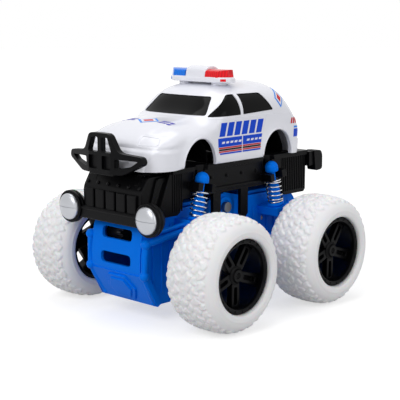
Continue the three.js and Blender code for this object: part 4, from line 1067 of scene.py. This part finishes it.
class STUNT_CAR_OT_light_bar(bpy.types.Operator):
    """Builds the white light bar with its red and blue lenses"""

    bl_idname = "stunt_car.light_bar"
    bl_label = "Light bar"

    def execute(self, context):
        half, front, rear, turn = 22.3, -4.7, 8.8, 16.4
        middle = (front + rear) / 2
        plan = [(half, -0.2, 1.2), (half, 4.3, 1.2), (turn, rear, 2), (-turn, rear, 2)]
        plan += [(-half, 4.3, 1.2), (-half, -0.2, 1.2), (-turn, front, 2), (turn, front, 2)]
        tray = soften(prism("tray", outline(plan), "z", 121.3, 123.8), 0.6, 4)
        rim_plan = outline([(x * 0.975, middle + (y - middle) * 0.95, r) for x, y, r in plan])
        tray_rim = soften(prism("tray_rim", rim_plan, "z", 123.4, 124.2), 0.25, 2)
        hump_profile = [(front + 0.4, 123), (front + 1.4, 128.4, 1.6), (0, 129.8, 2), (4.1, 129.8, 2)]
        hump_profile += [(rear - 1.4, 128.4, 1.6), (rear - 0.4, 123)]
        hump = soften(prism("hump", outline(hump_profile), "x", -7.3, 7.3), 0.8, 4)
        foot = [(0, 119.6), (4, 119.6), (4, 121.4), (3, 122), (0, 122)]
        feet = [lathe("foot", foot, Matrix.Translation((x, middle, 0))) for x in (12, -12)]
        fit(join("light_bar_tray", [tray, tray_rim, hump, *feet]), "chassis", "white_abs", "light_bar_base")
        for hand, colour in ((1, "red"), (-1, "blue")):
            profile = [(front + 0.5, 124), (front + 1.1, 127.3, 1), (-0.4, 128.2, 1.5), (4.5, 128.2, 1.5)]
            profile += [(rear - 1.1, 127.3, 1), (rear - 0.5, 124)]
            end = half - 0.9
            corners = [(7.5, front), (turn - 0.5, front + 0.4, 1.2), (end, 0, 1.2), (end, 4.1, 1.2)]
            corners += [(turn - 0.5, rear - 0.4, 1.2), (7.5, rear)]
            lens = prism("lens", outline(profile), "x", *span(hand, 7.5, end))
            carve(lens, [prism("plan", outline(handed(hand, corners)), "z", 120, 132)], "INTERSECT")

            def leaned(p, hand=hand):
                lean = (p[:, 2] - 124) * 0.2 * (np.abs(p[:, 0]) > 12)
                return p - np.outer(lean, (hand, 0, 0))

            bent(lens, leaned)
            lens.name = f"light_lens_{colour}"
            fit(soften(lens, 0.55, 4), "chassis", f"{colour}_acrylic", f"light_bar_lens_{colour}")
            markers = []
            for y, facing in ((-2.45, -0.795), (6.55, 0.795)):
                marker = soften(block("marker", (-1.5, 1.5), (-0.65, 0.65), (-0.4, 0.2)), 0.15, 2)
                markers.append(moved(marker, along((hand * 0.606, facing, 0), (hand * 19.35, y, 122.6))))
            fit(join(f"light_marker_{colour}", markers), "chassis", f"{colour}_acrylic")
        return {"FINISHED"}


LAMP_HEIGHT = 57.4


def lamp_frame(hand):
    """A headlight's frame: its own Z axis runs forward."""
    return along((0, -1, 0), (hand * 29.5, -69, LAMP_HEIGHT))


class STUNT_CAR_OT_front_end(bpy.types.Operator):
    """Builds the ribbed engine block, the headlights with their pods and the front bumper"""

    bl_idname = "stunt_car.front_end"
    bl_label = "Front end"

    def execute(self, context):
        edge = context.scene.stunt_car.sizes.edge_round / MM
        self.engine_block(edge)
        self.headlights()
        self.bumper()
        return {"FINISHED"}

    def engine_block(self, edge):
        """The hollow block with its grille panels, bolts, top ducts and side plates."""
        profile = [(-65.6, 52.3), (-65.6, 69, 2), (-60.6, 77.2, 2), (-42, 77.2), (-42, 52.3)]
        hollow = [(-63.6, 51), (-63.6, 68), (-58.6, 75.2), (-41, 75.2), (-41, 51)]
        body = prism("engine_block", outline(profile), "x", -22, 22)
        skirt = block("skirt", (-23, 23), (-62.6, -41), (51.3, 59))
        carve(body, [prism("hollow", outline(hollow), "x", -20, 20), skirt])
        parts = [soften(body, edge, 3)]
        panel = soften(block("panel", (-3.3, 3.3), (-67, -64.9), (58.2, 68.4)), 0.6, 3)
        parts.append(row_of("panels", panel, 5, (-16, 0, 0), (16, 0, 0)))
        head = [(0, -0.6), (0.95, -0.6), (0.95, 0.5), (0.75, 0.75), (0, 0.8)]
        bolt = lathe("bolt", head, along((0, -0.85, 0.52), (0, 0, 0)), 12)
        parts.append(row_of("bolts", bolt, 6, (-19.5, -64.1, 71.6), (19.5, -64.1, 71.6)))
        side = outline([(-63.6, 72.4, 0.8), (-60.2, 78.6, 1.2), (-50, 78.6, 1), (-50, 74)])
        duct = soften(prism("duct", side, "x", -1.5, 1.5), 0.5, 3)
        parts.append(row_of("ducts", duct, 2, (-16, 0, 0), (16, 0, 0)))
        for hand in HANDS:
            plate = outline([(-61, 60, 1), (-55.5, 76.4, 2), (-43, 76.4, 1), (-43, 58.6, 1), (-52, 57, 2)])
            parts.append(soften(prism("side_plate", plate, "x", *span(hand, 21.4, 23.6)), 0.7, 3))
            rib = ((23.2, -57.6, 62.6), (23.2, -52.4, 74.4), (23.2, -45, 74.6))
            parts.append(rod("side_rib", handed(hand, rib), 0.7))
        bar = soften(block("bar", (-29.5, 29.5), (-68, -65), (52.3, 58.9)), 0.8, 3)
        lip = soften(block("bar_lip", (-27, 27), (-68.5, -66), (57.2, 58.4)), 0.4, 3)
        parts += [bar, lip]
        for hand in HANDS:
            cup = [(0, -7.4), (5, -7.4), (6, -7), (8.2, -3.9), (8.6, -3), (8.6, -2.2), (8.3, -2), (8.3, -1.6)]
            cup += [(8.6, -1.4), (8.6, -0.3), (8.3, 0.1), (7.6, 0.2), (7.3, 0), (7.3, -1.6), (0, -1.6)]
            parts.append(lathe("pod", cup, lamp_frame(hand), 64))
        fit(join("engine_block_black", parts), "chassis", "black_abs", "front_fascia")

    def headlights(self):
        """Two sprayed domes, each with a fine line across its middle."""
        dome = [(0, -1.1), (7.0, -1.1), (7.1, 0.3), (7.0, 0.6)]
        dome += oval((0, 0.6), (7.0, 2.6), np.linspace(0.12, math.pi / 2, 14))
        dome[-1] = (0, dome[-1][1])
        cuts = [LAMP_HEIGHT + offset for offset in (-0.35, -0.15, -0.05, 0.05, 0.15, 0.35)]

        def groove(p):
            line = (np.abs(p[:, 2] - LAMP_HEIGHT) < 0.11) & (p[:, 1] < -69.7)
            p[line, 1] += 0.35
            return p

        for side, hand in SIDES:
            lamp = sliced(lathe(f"headlight_dome_{side}", dome, lamp_frame(hand), 72), 2, places=cuts)
            fit(shade(bent(lamp, groove), 50.0), "chassis", "silver_lacquer", f"headlight_{side}")

    def bumper(self):
        """The swept bull bar: a plate with round edges and four slots."""
        half = [(7.5, 99, 2.5), (12.5, 89.6, 3), (26.5, 88.4, 2.5), (27.5, 84.8, 2), (15, 78.6, 2)]
        edge = outline(half + handed(-1, reversed(half)))
        slots = []
        for hand in HANDS:
            upper = [(1.2, 96.9, 0.9), (6.0, 96.9, 0.9), (8.9, 89.4, 1.2), (1.2, 89.4, 0.9)]
            wing = [(10.4, 86.5, 1.2), (24.4, 86.2, 1), (20.6, 83.5, 1.2), (10.4, 81.3, 1.2)]
            slots += [outline(handed(hand, shape)) for shape in (upper, wing)]
        plate = prism("bull_bar", edge, "y", -73.45, -70.1)
        carve(plate, [prism("slot", points, "y", -75, -68) for points in slots])
        panels = []
        for hand in HANDS:
            panel = [(1.7, 87.6, 0.8), (8.4, 87.6, 0.8), (8.4, 80.7, 1), (1.7, 80.7, 1)]
            panels.append(prism("panel", outline(handed(hand, panel)), "y", -75, -71.8))
        carve(plate, panels)

        def swept(p):
            p[:, 1] += np.maximum(0, np.abs(p[:, 0]) - 8) * 0.22
            return p

        soften(bent(sliced(plate, 0, spacing=2.0), swept), 0.8, 4)
        tongue = soften(block("tongue", (-9, 9), (-72.3, -53.6), (77.6, 80)), 0.4, 2)
        brace = soften(prism("brace", [(-71.5, 78.6), (-60, 78.6), (-71.5, 84.6)], "x", -6, 6), 0.4, 2)
        spine = rod("spine", [(0, -72.1, 97.6), (0, -72.1, 80.5)], 1.35, sides=16)
        fit(join("bull_bar_black", [plate, tongue, brace, spine]), "chassis", "black_abs", "front_bumper")


class STUNT_CAR_OT_chassis(bpy.types.Operator):
    """Rounds the chassis frame and the rear bumper and coats the small steel parts"""

    bl_idname = "stunt_car.chassis"
    bl_label = "Chassis"

    def execute(self, context):
        edge = context.scene.stunt_car.sizes.edge_round / MM
        parts = [cad_copy("chassis_body", "chassis_frame", edge * 0.7)]
        for arch in ARCHES:
            turns = np.linspace(0, math.pi, 40)
            outer = oval((arch, FOOT - 0.2), (13.4, 15.6), turns)
            inner = oval((arch, FOOT - 0.2), (12.4, 14.6), turns)
            inner += [(arch - 12.4, FOOT - 2), (arch + 12.4, FOOT - 2)]
            hollow = prism("hollow", inner, "x", -24, 24)
            vault = carve(prism("arch_liner", outer, "x", -22.5, 22.5), [hollow])
            parts.append(soften(vault, 0.3, 2))
        for hand in HANDS:
            ledge = block("ledge", span(hand, 25.2, 26.7), (-21, 21), (65.6, 67.4))
            parts.append(soften(ledge, 0.4, 2))
            profile = [(0, -0.4), (0.9, -0.4), (0.9, 0.4), (0.7, 0.6), (0, 0.65)]
            bolt = lathe("bolt", profile, along((hand, 0, 0), (hand * 25.6, 0, 72.8)), 12)
            parts.append(row_of("bolts", bolt, 4, (0, -18, 0), (0, 18, 0)))
            for count, first, last in ((13, 40.8, 60.6), (5, -46.8, -40.4)):
                rib = soften(block("rib", span(hand, 25.2, 25.9), (-0.35, 0.35), (58, 78.8)), 0.2, 2)
                parts.append(row_of("ribs", rib, count, (0, first, 0), (0, last, 0)))
        fit(join("chassis_moulding", parts), "chassis", "black_abs", "chassis_frame")
        fit(join("rear_bumper_moulding", self.rear_bumper(edge)), "chassis", "black_abs", "rear_bumper")
        for node in ("pivot_pin", "pivot_clip", "shell_screw_front", "shell_screw_rear"):
            coat(node, "zinc_steel")
        return {"FINISHED"}

    def rear_bumper(self, edge):
        """The beam with a row of raised panels, a tow hook and two bolts."""
        panel = soften(block("panel", (-3.2, 3.2), (-2.4, 2.4), (-0.6, 0.7)), 0.45, 3)
        panel = moved(panel, along((0, 0.965, 0.263), (0, 68.5, 75)))
        panels = row_of("panels", panel, 5, (-16.8, 0, 0), (16.8, 0, 0))
        hook = [(4 * math.cos(t), 65 + 4.6 * math.sin(t), 66) for t in np.linspace(0, math.pi, 17)]
        profile = [(0, -0.5), (1.3, -0.5), (1.3, 0.5), (1.0, 0.8), (0, 0.85)]
        bolt = lathe("bolt", profile, along((0, 1, 0), (0, 65.3, 66)), 12)
        bolts = row_of("bolts", bolt, 2, (-10.5, 0, 0), (10.5, 0, 0))
        return [cad_copy("beam", "rear_bumper", edge), panels, rod("tow_hook", hook, 1.1), bolts]


# Axle units, made for the front and turned half round for the rear

HALF_TURN = Matrix.Rotation(math.pi, 4, "Z")
SLOT_HEIGHTS = (45.8, 32.8)
SHOCK_SEAT, SHOCK_LEAN = (28.2, -32.2, 52), -11


def shock_frame(hand):
    """The frame of a shock absorber, with its seat at height 0."""
    x, y, z = SHOCK_SEAT
    return Matrix.Translation((hand * x, y, z)) @ Matrix.Rotation(math.radians(SHOCK_LEAN), 4, "X")


class STUNT_CAR_OT_axle_units(bpy.types.Operator):
    """Builds the blue axle housings with their shock absorbers and finishes the motors inside"""

    bl_idname = "stunt_car.axle_units"
    bl_label = "Axle units"

    def execute(self, context):
        sizes = context.scene.stunt_car.sizes
        for end, sign in ENDS:
            turn = Matrix.Identity(4) if sign < 0 else HALF_TURN
            unit = f"{end}_axle_unit"
            housing = cad_copy("case", f"{end}_axle_housing")
            slots = [moved(self.slot(z), turn) for z in SLOT_HEIGHTS]
            housing = soften(carve(housing, slots), 0.55, 3)
            parts = [housing, *(moved(part, turn) for part in self.cage())]
            fit(join(f"{end}_axle_case", parts), unit, "blue_polypropylene", f"{end}_axle_housing")
            cover = cad_copy(f"{end}_motor_cover", f"{end}_gear_cover", 0.4)
            fit(cover, unit, "blue_polypropylene", f"{end}_gear_cover")
            for side, hand in SIDES:
                near = hand if sign < 0 else -hand
                place = turn @ shock_frame(near)
                post = self.post(f"{end}_shock_{side}", place)
                fit(post, unit, "blue_polypropylene", f"{end}_shock_post_{side}")
                self.spring(f"{end}_coil_{side}", place, sizes, end, side)
            for node in ("idler_gear", "spring_drum", "drum_lid", "axle_pinion"):
                coat(f"{end}_{node}", "black_acetal")
            for node in ("idler_pin", "drum_arbor", "axle"):
                coat(f"{end}_{node}", "zinc_steel")
            coat(f"{end}_mainspring", "spring_steel")
        return {"FINISHED"}

    def slot(self, height):
        """A tool for one of the wide slots in the front plate."""
        low, high = height - 3.0, height + 3.0
        corners = [(-11.3, low, 2.4), (11.3, low, 2.4), (11.3, high, 2.4), (-11.3, high, 2.4)]
        return prism("slot", outline(corners), "y", -67, -56)

    def cage(self):
        """Raised details on the front unit: plate rails, the stepped pad, and tubes with round nodes."""
        parts = []
        slope = along((0, -0.873, -0.488), (0, -58.9, 17.6))
        for wide, high, low, top in ((10.6, 7.9, -1.5, 0.9), (8.2, 5.9, 0.0, 1.7)):
            near = wide * 0.6
            ring = [(wide, 0), (near, high), (-near, high), (-wide, 0), (-near, -high), (near, -high)]
            parts.append(moved(soften(prism("pad", ring, "z", low, top), 0.5, 3), slope))
        for hand in HANDS:
            rail = ((20.4, -62.2, 45), (20.4, -63.5, 36), (20.4, -63.5, 26), (20.4, -54.3, 9.8))
            parts.append(rod("rail", handed(hand, rail), 0.8))
            upper, lower = handed(hand, ((21, -61.9, 42.9), (20.4, -62.5, 26.5)))
            rear, foot = handed(hand, ((26.2, -38.2, 47.6), (18.6, -53.6, 11)))
            tubes = ((upper, lower), (upper, rear), (lower, foot))
            parts += [rod("tube", path, 1.75, sides=16) for path in tubes]
            parts.append(rod("brace", handed(hand, ((20.5, -56, 47.6), (25.8, -38, 51))), 1.2))
            for centre, radius in ((upper, 2.6), (lower, 2.6), (foot, 2.1)):
                ball = oval((0, 0), (radius, radius), np.linspace(-math.pi / 2, math.pi / 2, 15))
                ball[0], ball[-1] = (0, -radius), (0, radius)
                parts.append(lathe("node", ball, Matrix.Translation(centre), 24))
            rib = soften(block("rib", span(hand, 18.2, 19.1), (-0.6, 0.6), (15, 51)), 0.3, 2)
            parts.append(row_of("ribs", rib, 6, (0, -54.5, 0), (0, -23.5, 0)))
        boss = [(3.6, -0.2), (5.8, -0.2), (5.8, 0.5), (5.5, 0.8), (3.9, 0.8), (3.6, 0.5)]
        parts.append(lathe("boss", boss, along((1, 0, 0), (18.5, 0, 54)), 40, loop=True))
        return parts

    def post(self, name, place):
        """A shock absorber's post: stud, collar, ringed body, neck and round head."""
        profile = [(0, -3.4), (1.3, -3.4), (1.5, -3.1), (1.5, 0.3), (4.3, 0.3)]
        profile += [(4.6, 0.6), (4.6, 1.7), (4.3, 2), (3.1, 2), (3.1, 2.5)]
        for s in np.arange(3.0, 11.2, 1.4):
            profile += [(3.0, s), (3.2, s + 0.25), (3.2, s + 0.7), (3.0, s + 0.95)]
        profile += [(2.9, 11.7), (2.0, 12.3), (1.7, 12.8), (1.7, 19.9)]
        profile += [(3.2, 19.9), (3.6, 20.2), (3.7, 20.7)]
        profile += oval((0, 22.0), (3.7, 3.7), np.linspace(0, math.pi / 2, 12))
        profile[-1] = (0, profile[-1][1])
        return lathe(name, profile, place, 40, sharp=50.0)

    def spring(self, name, place, sizes, end, side):
        """A shock's coil spring, which goes with its axle unit."""
        values = {
            "Turns": sizes.spring_turns,
            "Radius": 4.1 * MM,
            "Height": 12.3 * MM,
            "Wire": sizes.spring_wire,
        }
        coil = moved(grown(name, "coil_spring", values), place @ Matrix.Translation((0, 0, 2.7)))
        fit(coil, f"{end}_axle_unit", "spring_steel", f"{end}_spring_{side}")
        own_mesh(coil)


# Wheels

WHEEL_PLACE = (53, 39, 30)
# Rows of blocks: place across the tyre, shift in pitches, half length, half width and lean in degrees
TREAD_ROWS = (
    (0.0, 0.3, 1.6, 1.35, 25),
    (3.7, 0.8, 1.65, 1.4, -30),
    (7.4, 0.1, 1.7, 1.45, 22),
    (11.1, 0.55, 1.8, 1.5, -12),
)


def wheel_frame(sign, hand):
    """A wheel's frame: its own Z axis runs outward along the axle."""
    x, y, z = WHEEL_PLACE
    place = Matrix.Translation((hand * x, sign * y, z))
    return place @ Matrix.Rotation(hand * math.pi / 2, 4, "Y")


def tread_height(u, v, pitches, radius):
    """How much of the tread's height stands at places round (u) and across (v) the tyre, in millimetres."""
    pitch = 2 * math.pi * radius / pitches
    round_u = u / radius
    u = u + 0.55 * np.sin(1.1 * v + 2 * np.sin(round_u * (pitches // 3)))
    v = v + 0.5 * np.sin(round_u * (pitches + 5) + 0.35 * v)
    height = np.zeros_like(u)
    for side in (1, -1):
        for centre, shift, half_u, half_v, lean in TREAD_ROWS:
            start = (shift + (0.5 if side < 0 else 0.0)) * pitch
            if side < 0 and not centre:
                continue
            for near in (-1, 0, 1):
                cell = np.round((u - start) / pitch) + near
                number = np.mod(cell, pitches)
                # A repeatable number from -0.5 to 0.5 for each block
                noise = np.sin(number * 12.9898 + centre * 78.233 + side * 3.7) * 43758.5453
                noise = noise - np.floor(noise) - 0.5
                turn = np.radians(lean * side + 50 * noise)
                grow = 1 + 0.3 * noise
                du, dv = u - start - cell * pitch, v - side * (centre + 0.9 * noise)
                a = np.abs(np.cos(turn) * du + np.sin(turn) * dv) - half_u * grow
                b = np.abs(-np.sin(turn) * du + np.cos(turn) * dv) - half_v * grow
                gap = np.hypot(np.maximum(a + 0.8, 0), np.maximum(b + 0.8, 0)) - 0.8
                height = np.maximum(height, smooth_step(0.45, -0.4, gap))
    return height


def tyre(name, place, sizes):
    """A balloon tyre: a closed soft section with smooth walls and low tread blocks."""
    radius, half, seat, depth = 30.0, 16.3, 21.0, sizes.tread_depth / MM
    # A superellipse section, in even steps along its run
    turn = np.linspace(-math.pi / 2, math.pi / 2, 2000)
    across = half * np.sign(np.sin(turn)) * np.abs(np.sin(turn)) ** (2 / 3.0)
    out = seat + (radius - seat) * np.abs(np.cos(turn)) ** (2 / 2.15)
    run = np.concatenate([[0], np.cumsum(np.hypot(np.diff(across), np.diff(out)))])
    rows, steps = 116, 460
    at = np.linspace(0, run[-1], rows)
    across, out = np.interp(at, run, across), np.interp(at, run, out)
    v = at - run[-1] / 2
    lean = np.stack([-np.gradient(out), np.gradient(across)], -1)
    lean /= np.linalg.norm(lean, axis=1, keepdims=True)
    # The gaps of the tread are sunk into it, and a fine line stands on each wall
    angle = np.linspace(0, 2 * math.pi, steps, endpoint=False)
    u, vv = np.meshgrid(angle * radius, v, indexing="ij")
    sink = depth * (1 - tread_height(u, vv, sizes.tread_pitches, radius))
    wall = np.abs(vv) - (run[-1] / 2 - 1.6)
    sink -= 0.2 * np.exp(-((wall / 0.5) ** 2))
    h = across[None, :] - lean[None, :, 0] * sink
    r = out[None, :] - lean[None, :, 1] * sink
    # The beads close the section on the inside
    bead = np.array([(20.2, 15.3), (19.6, 15.0), (19.25, 14.3), (19.2, 13.4), (19.2, 4.5)])
    ends = np.concatenate([bead, (bead * (1, -1))[::-1]])
    h = np.concatenate([h, np.broadcast_to(ends[:, 1], (steps, len(ends)))], 1)
    r = np.concatenate([r, np.broadcast_to(ends[:, 0], (steps, len(ends)))], 1)
    points = np.stack([r * np.cos(angle)[:, None], r * np.sin(angle)[:, None], h], -1)
    obj = skin(name, points, loop=True, sharp=80.0)
    return moved(obj, place)


def rim(name, place, sizes):
    """A dished rim: barrel with a studded edge, twin-rib spokes and a hub with a small hole."""
    barrel = [(18.9, -13.2), (18.9, 12.7), (18.6, 13.2), (18.2, 13.35), (16.9, 13.35), (16.5, 13.1)]
    barrel += [(16.3, 12.4), (16.3, 10.4), (16.9, 9.6), (17, -13.0), (17.3, -13.35), (18.6, -13.35)]
    parts = [lathe("barrel", barrel, Matrix.Identity(4), 96, loop=True)]
    hub = [(0, 9.2), (1.2, 9.2), (1.4, 10.1), (1.7, 10.35), (3.0, 10.35), (3.3, 10.0), (3.4, 9.2)]
    hub += [(4.2, 9.2), (4.6, 8.8), (4.6, 3), (3.2, 1), (3.2, -12), (1.7, -12), (1.7, 8), (0, 8)]
    parts.append(lathe("hub", hub, Matrix.Identity(4), 48))
    outer = outline([(3.6, -2.8, 1.5), (17.2, -3.0, 0.8), (17.2, 3.0, 0.8), (3.6, 2.8, 1.5)])
    inner = outline([(6.2, -1.0, 0.9), (15.2, -1.15, 0.9), (15.2, 1.15, 0.9), (6.2, 1.0, 0.9)])
    spoke = prism("spoke", outer, "z", 5.0, 8.6)
    carve(spoke, [prism("slot", inner, "z", 6.2, 10)])
    spoke = soften(spoke, 0.55, 3)
    parts.append(grown("spokes", "ring_of_parts", {"Count": sizes.spokes, "Radius": 1e-6}, spoke))
    knob = [(0, 13.2), (0.55, 13.2), (0.5, 13.6), (0.3, 13.75), (0, 13.8)]
    stud = lathe("stud", knob, Matrix.Identity(4), 10)
    ring = {"Count": sizes.rim_studs, "Radius": 17.6 * MM}
    parts.append(grown("studs", "ring_of_parts", ring, stud))
    return moved(join(name, parts), place)


class STUNT_CAR_OT_wheels(bpy.types.Operator):
    """Builds the four soft tyres on their dished rims"""

    bl_idname = "stunt_car.wheels"
    bl_label = "Wheels"

    def execute(self, context):
        sizes = context.scene.stunt_car.sizes
        for end, sign in ENDS:
            for side, hand in SIDES:
                place = wheel_frame(sign, hand)
                soft = tyre(f"{end}_balloon_tyre_{side}", place, sizes)
                fit(soft, f"{end}_wheels", "white_vinyl", f"{end}_tyre_{side}")
                hard = rim(f"{end}_dished_rim_{side}", place, sizes)
                fit(hard, f"{end}_wheels", "black_abs", f"{end}_rim_{side}")
        return {"FINISHED"}


class STUNT_CAR_OT_stage(bpy.types.Operator):
    """Sets the floor, the studio light and the camera"""

    bl_idname = "stunt_car.stage"
    bl_label = "Stage"

    def execute(self, context):
        scene = context.scene
        scene.view_settings.view_transform = "Standard"
        self.floor()
        self.world(scene)
        self.lamps()
        lens = bpy.data.cameras.new("photo_camera")
        lens.lens = 95.66
        lens.sensor_width = 36.0
        camera = link("photo_camera", lens)
        eye, target = Vector((0.40089, -0.42277, 0.1588)), Vector((0.00012, 0, 0.05545))
        camera.location = eye
        camera.rotation_euler = (target - eye).to_track_quat("-Z", "Y").to_euler()
        scene.camera = camera
        return {"FINISHED"}

    def floor(self):
        """A pale matt floor, lifted to white where a camera or a mirror sees it, with its shadow kept."""
        turns = np.linspace(0, 2 * math.pi, 96, endpoint=False)
        mesh = bpy.data.meshes.new("floor")
        mesh.from_pydata([(4 * math.cos(t), 4 * math.sin(t), 0) for t in turns], [], [tuple(range(96))])
        floor = link("floor", mesh)
        material, tree, shader = shader_of("studio_paper")
        place = add(tree, "ShaderNodeTexCoord").outputs["Object"]
        fibre = add(tree, "ShaderNodeTexNoise", {"Vector": place, "Scale": 1 / (2 * MM), "Detail": 2.0})
        relief = add(tree, "ShaderNodeBump", {"Height": fibre.outputs["Fac"], "Distance": 0.02 * MM})
        shader.inputs["Base Color"].default_value = (0.6, 0.6, 0.6, 1)
        shader.inputs["Roughness"].default_value = 0.9
        shader.inputs["Specular IOR Level"].default_value = 0.1
        tree.links.new(relief.outputs[0], shader.inputs["Normal"])
        away = add(tree, "ShaderNodeVectorMath", {0: place}, operation="LENGTH")
        fade = {"From Min": 0.2, "From Max": 1.6, "To Min": 0.6, "To Max": 0.77}
        level = add(tree, "ShaderNodeMapRange", {"Value": away.outputs["Value"], **fade})
        lift = add(tree, "ShaderNodeMath", {0: self.seen(tree), 1: level.outputs[0]}, operation="MULTIPLY")
        glow = add(tree, "ShaderNodeEmission", {"Color": (1, 1, 1, 1), "Strength": lift.outputs[0]})
        both = add(tree, "ShaderNodeAddShader", {0: shader.outputs[0], 1: glow.outputs[0]})
        tree.links.new(both.outputs[0], tree.nodes["Material Output"].inputs["Surface"])
        mesh.materials.append(material)

    def seen(self, tree):
        """1 for rays from the camera, from a mirror or through glass, and 0 for the light on the object."""
        path = add(tree, "ShaderNodeLightPath").outputs
        first = add(
            tree, "ShaderNodeMath", {0: path["Is Camera Ray"], 1: path["Is Glossy Ray"]}, operation="MAXIMUM"
        )
        return add(
            tree, "ShaderNodeMath", {0: first.outputs[0], 1: path["Is Transmission Ray"]}, operation="MAXIMUM"
        ).outputs[0]

    def world(self, scene):
        """White behind the object, and a softer pale light on it."""
        world = bpy.data.worlds.new("studio")
        world.use_nodes = True
        tree = world.node_tree
        back = tree.nodes["Background"]
        back.inputs["Color"].default_value = (1, 1, 1, 1)
        strength = add(
            tree, "ShaderNodeMapRange", {"Value": self.seen(tree), "To Min": 0.4, "To Max": 1.0}
        )
        tree.links.new(strength.outputs[0], back.inputs["Strength"])
        scene.world = world

    def lamps(self):
        """A broad key from the front, a fill from the left and a soft light from above."""
        middle = Vector((0, 0, 0.06))
        for name, place, size, power in (
            ("key", (0.15, -0.9, 0.75), 0.7, 4.9),
            ("fill", (0.9, 0.1, 0.45), 0.8, 1.9),
            ("top", (-0.2, 0.1, 1.1), 0.9, 3.5),
        ):
            light = bpy.data.lights.new(name, "AREA")
            light.shape = "DISK"
            light.size = size
            light.energy = power
            lamp = link(name, light)
            lamp.location = place
            lamp.rotation_euler = (middle - Vector(place)).to_track_quat("-Z", "Y").to_euler()


STEPS = (
    STUNT_CAR_OT_stage,
    STUNT_CAR_OT_body_shell,
    STUNT_CAR_OT_windows,
    STUNT_CAR_OT_livery,
    STUNT_CAR_OT_light_bar,
    STUNT_CAR_OT_front_end,
    STUNT_CAR_OT_chassis,
    STUNT_CAR_OT_axle_units,
    STUNT_CAR_OT_wheels,
)


class STUNT_CAR_PT_panel(bpy.types.Panel):
    """Lists the settings and the steps of the stunt car"""

    bl_idname = "STUNT_CAR_PT_panel"
    bl_label = "Stunt Car"
    bl_space_type = "VIEW_3D"
    bl_region_type = "UI"
    bl_category = "Stunt Car"

    def draw(self, context):
        for group in (context.scene.stunt_car.sizes, context.scene.stunt_car.colours):
            for name in group.__annotations__:
                self.layout.prop(group, name)
        for step in STEPS:
            self.layout.operator(step.bl_idname)


CLASSES = (CarSizes, CarColours, CarSettings, *STEPS, STUNT_CAR_PT_panel)


def register():
    for cls in CLASSES:
        bpy.utils.register_class(cls)
    bpy.types.Scene.stunt_car = PointerProperty(type=CarSettings)


def unregister():
    del bpy.types.Scene.stunt_car
    for cls in reversed(CLASSES):
        bpy.utils.unregister_class(cls)


def main():
    register()
    bpy.ops.stunt_car.stage()
    bpy.ops.stunt_car.body_shell()
    bpy.ops.stunt_car.windows()
    bpy.ops.stunt_car.livery()
    bpy.ops.stunt_car.light_bar()
    bpy.ops.stunt_car.front_end()
    bpy.ops.stunt_car.chassis()
    bpy.ops.stunt_car.axle_units()
    bpy.ops.stunt_car.wheels()


if __name__ == "__main__":
    main()
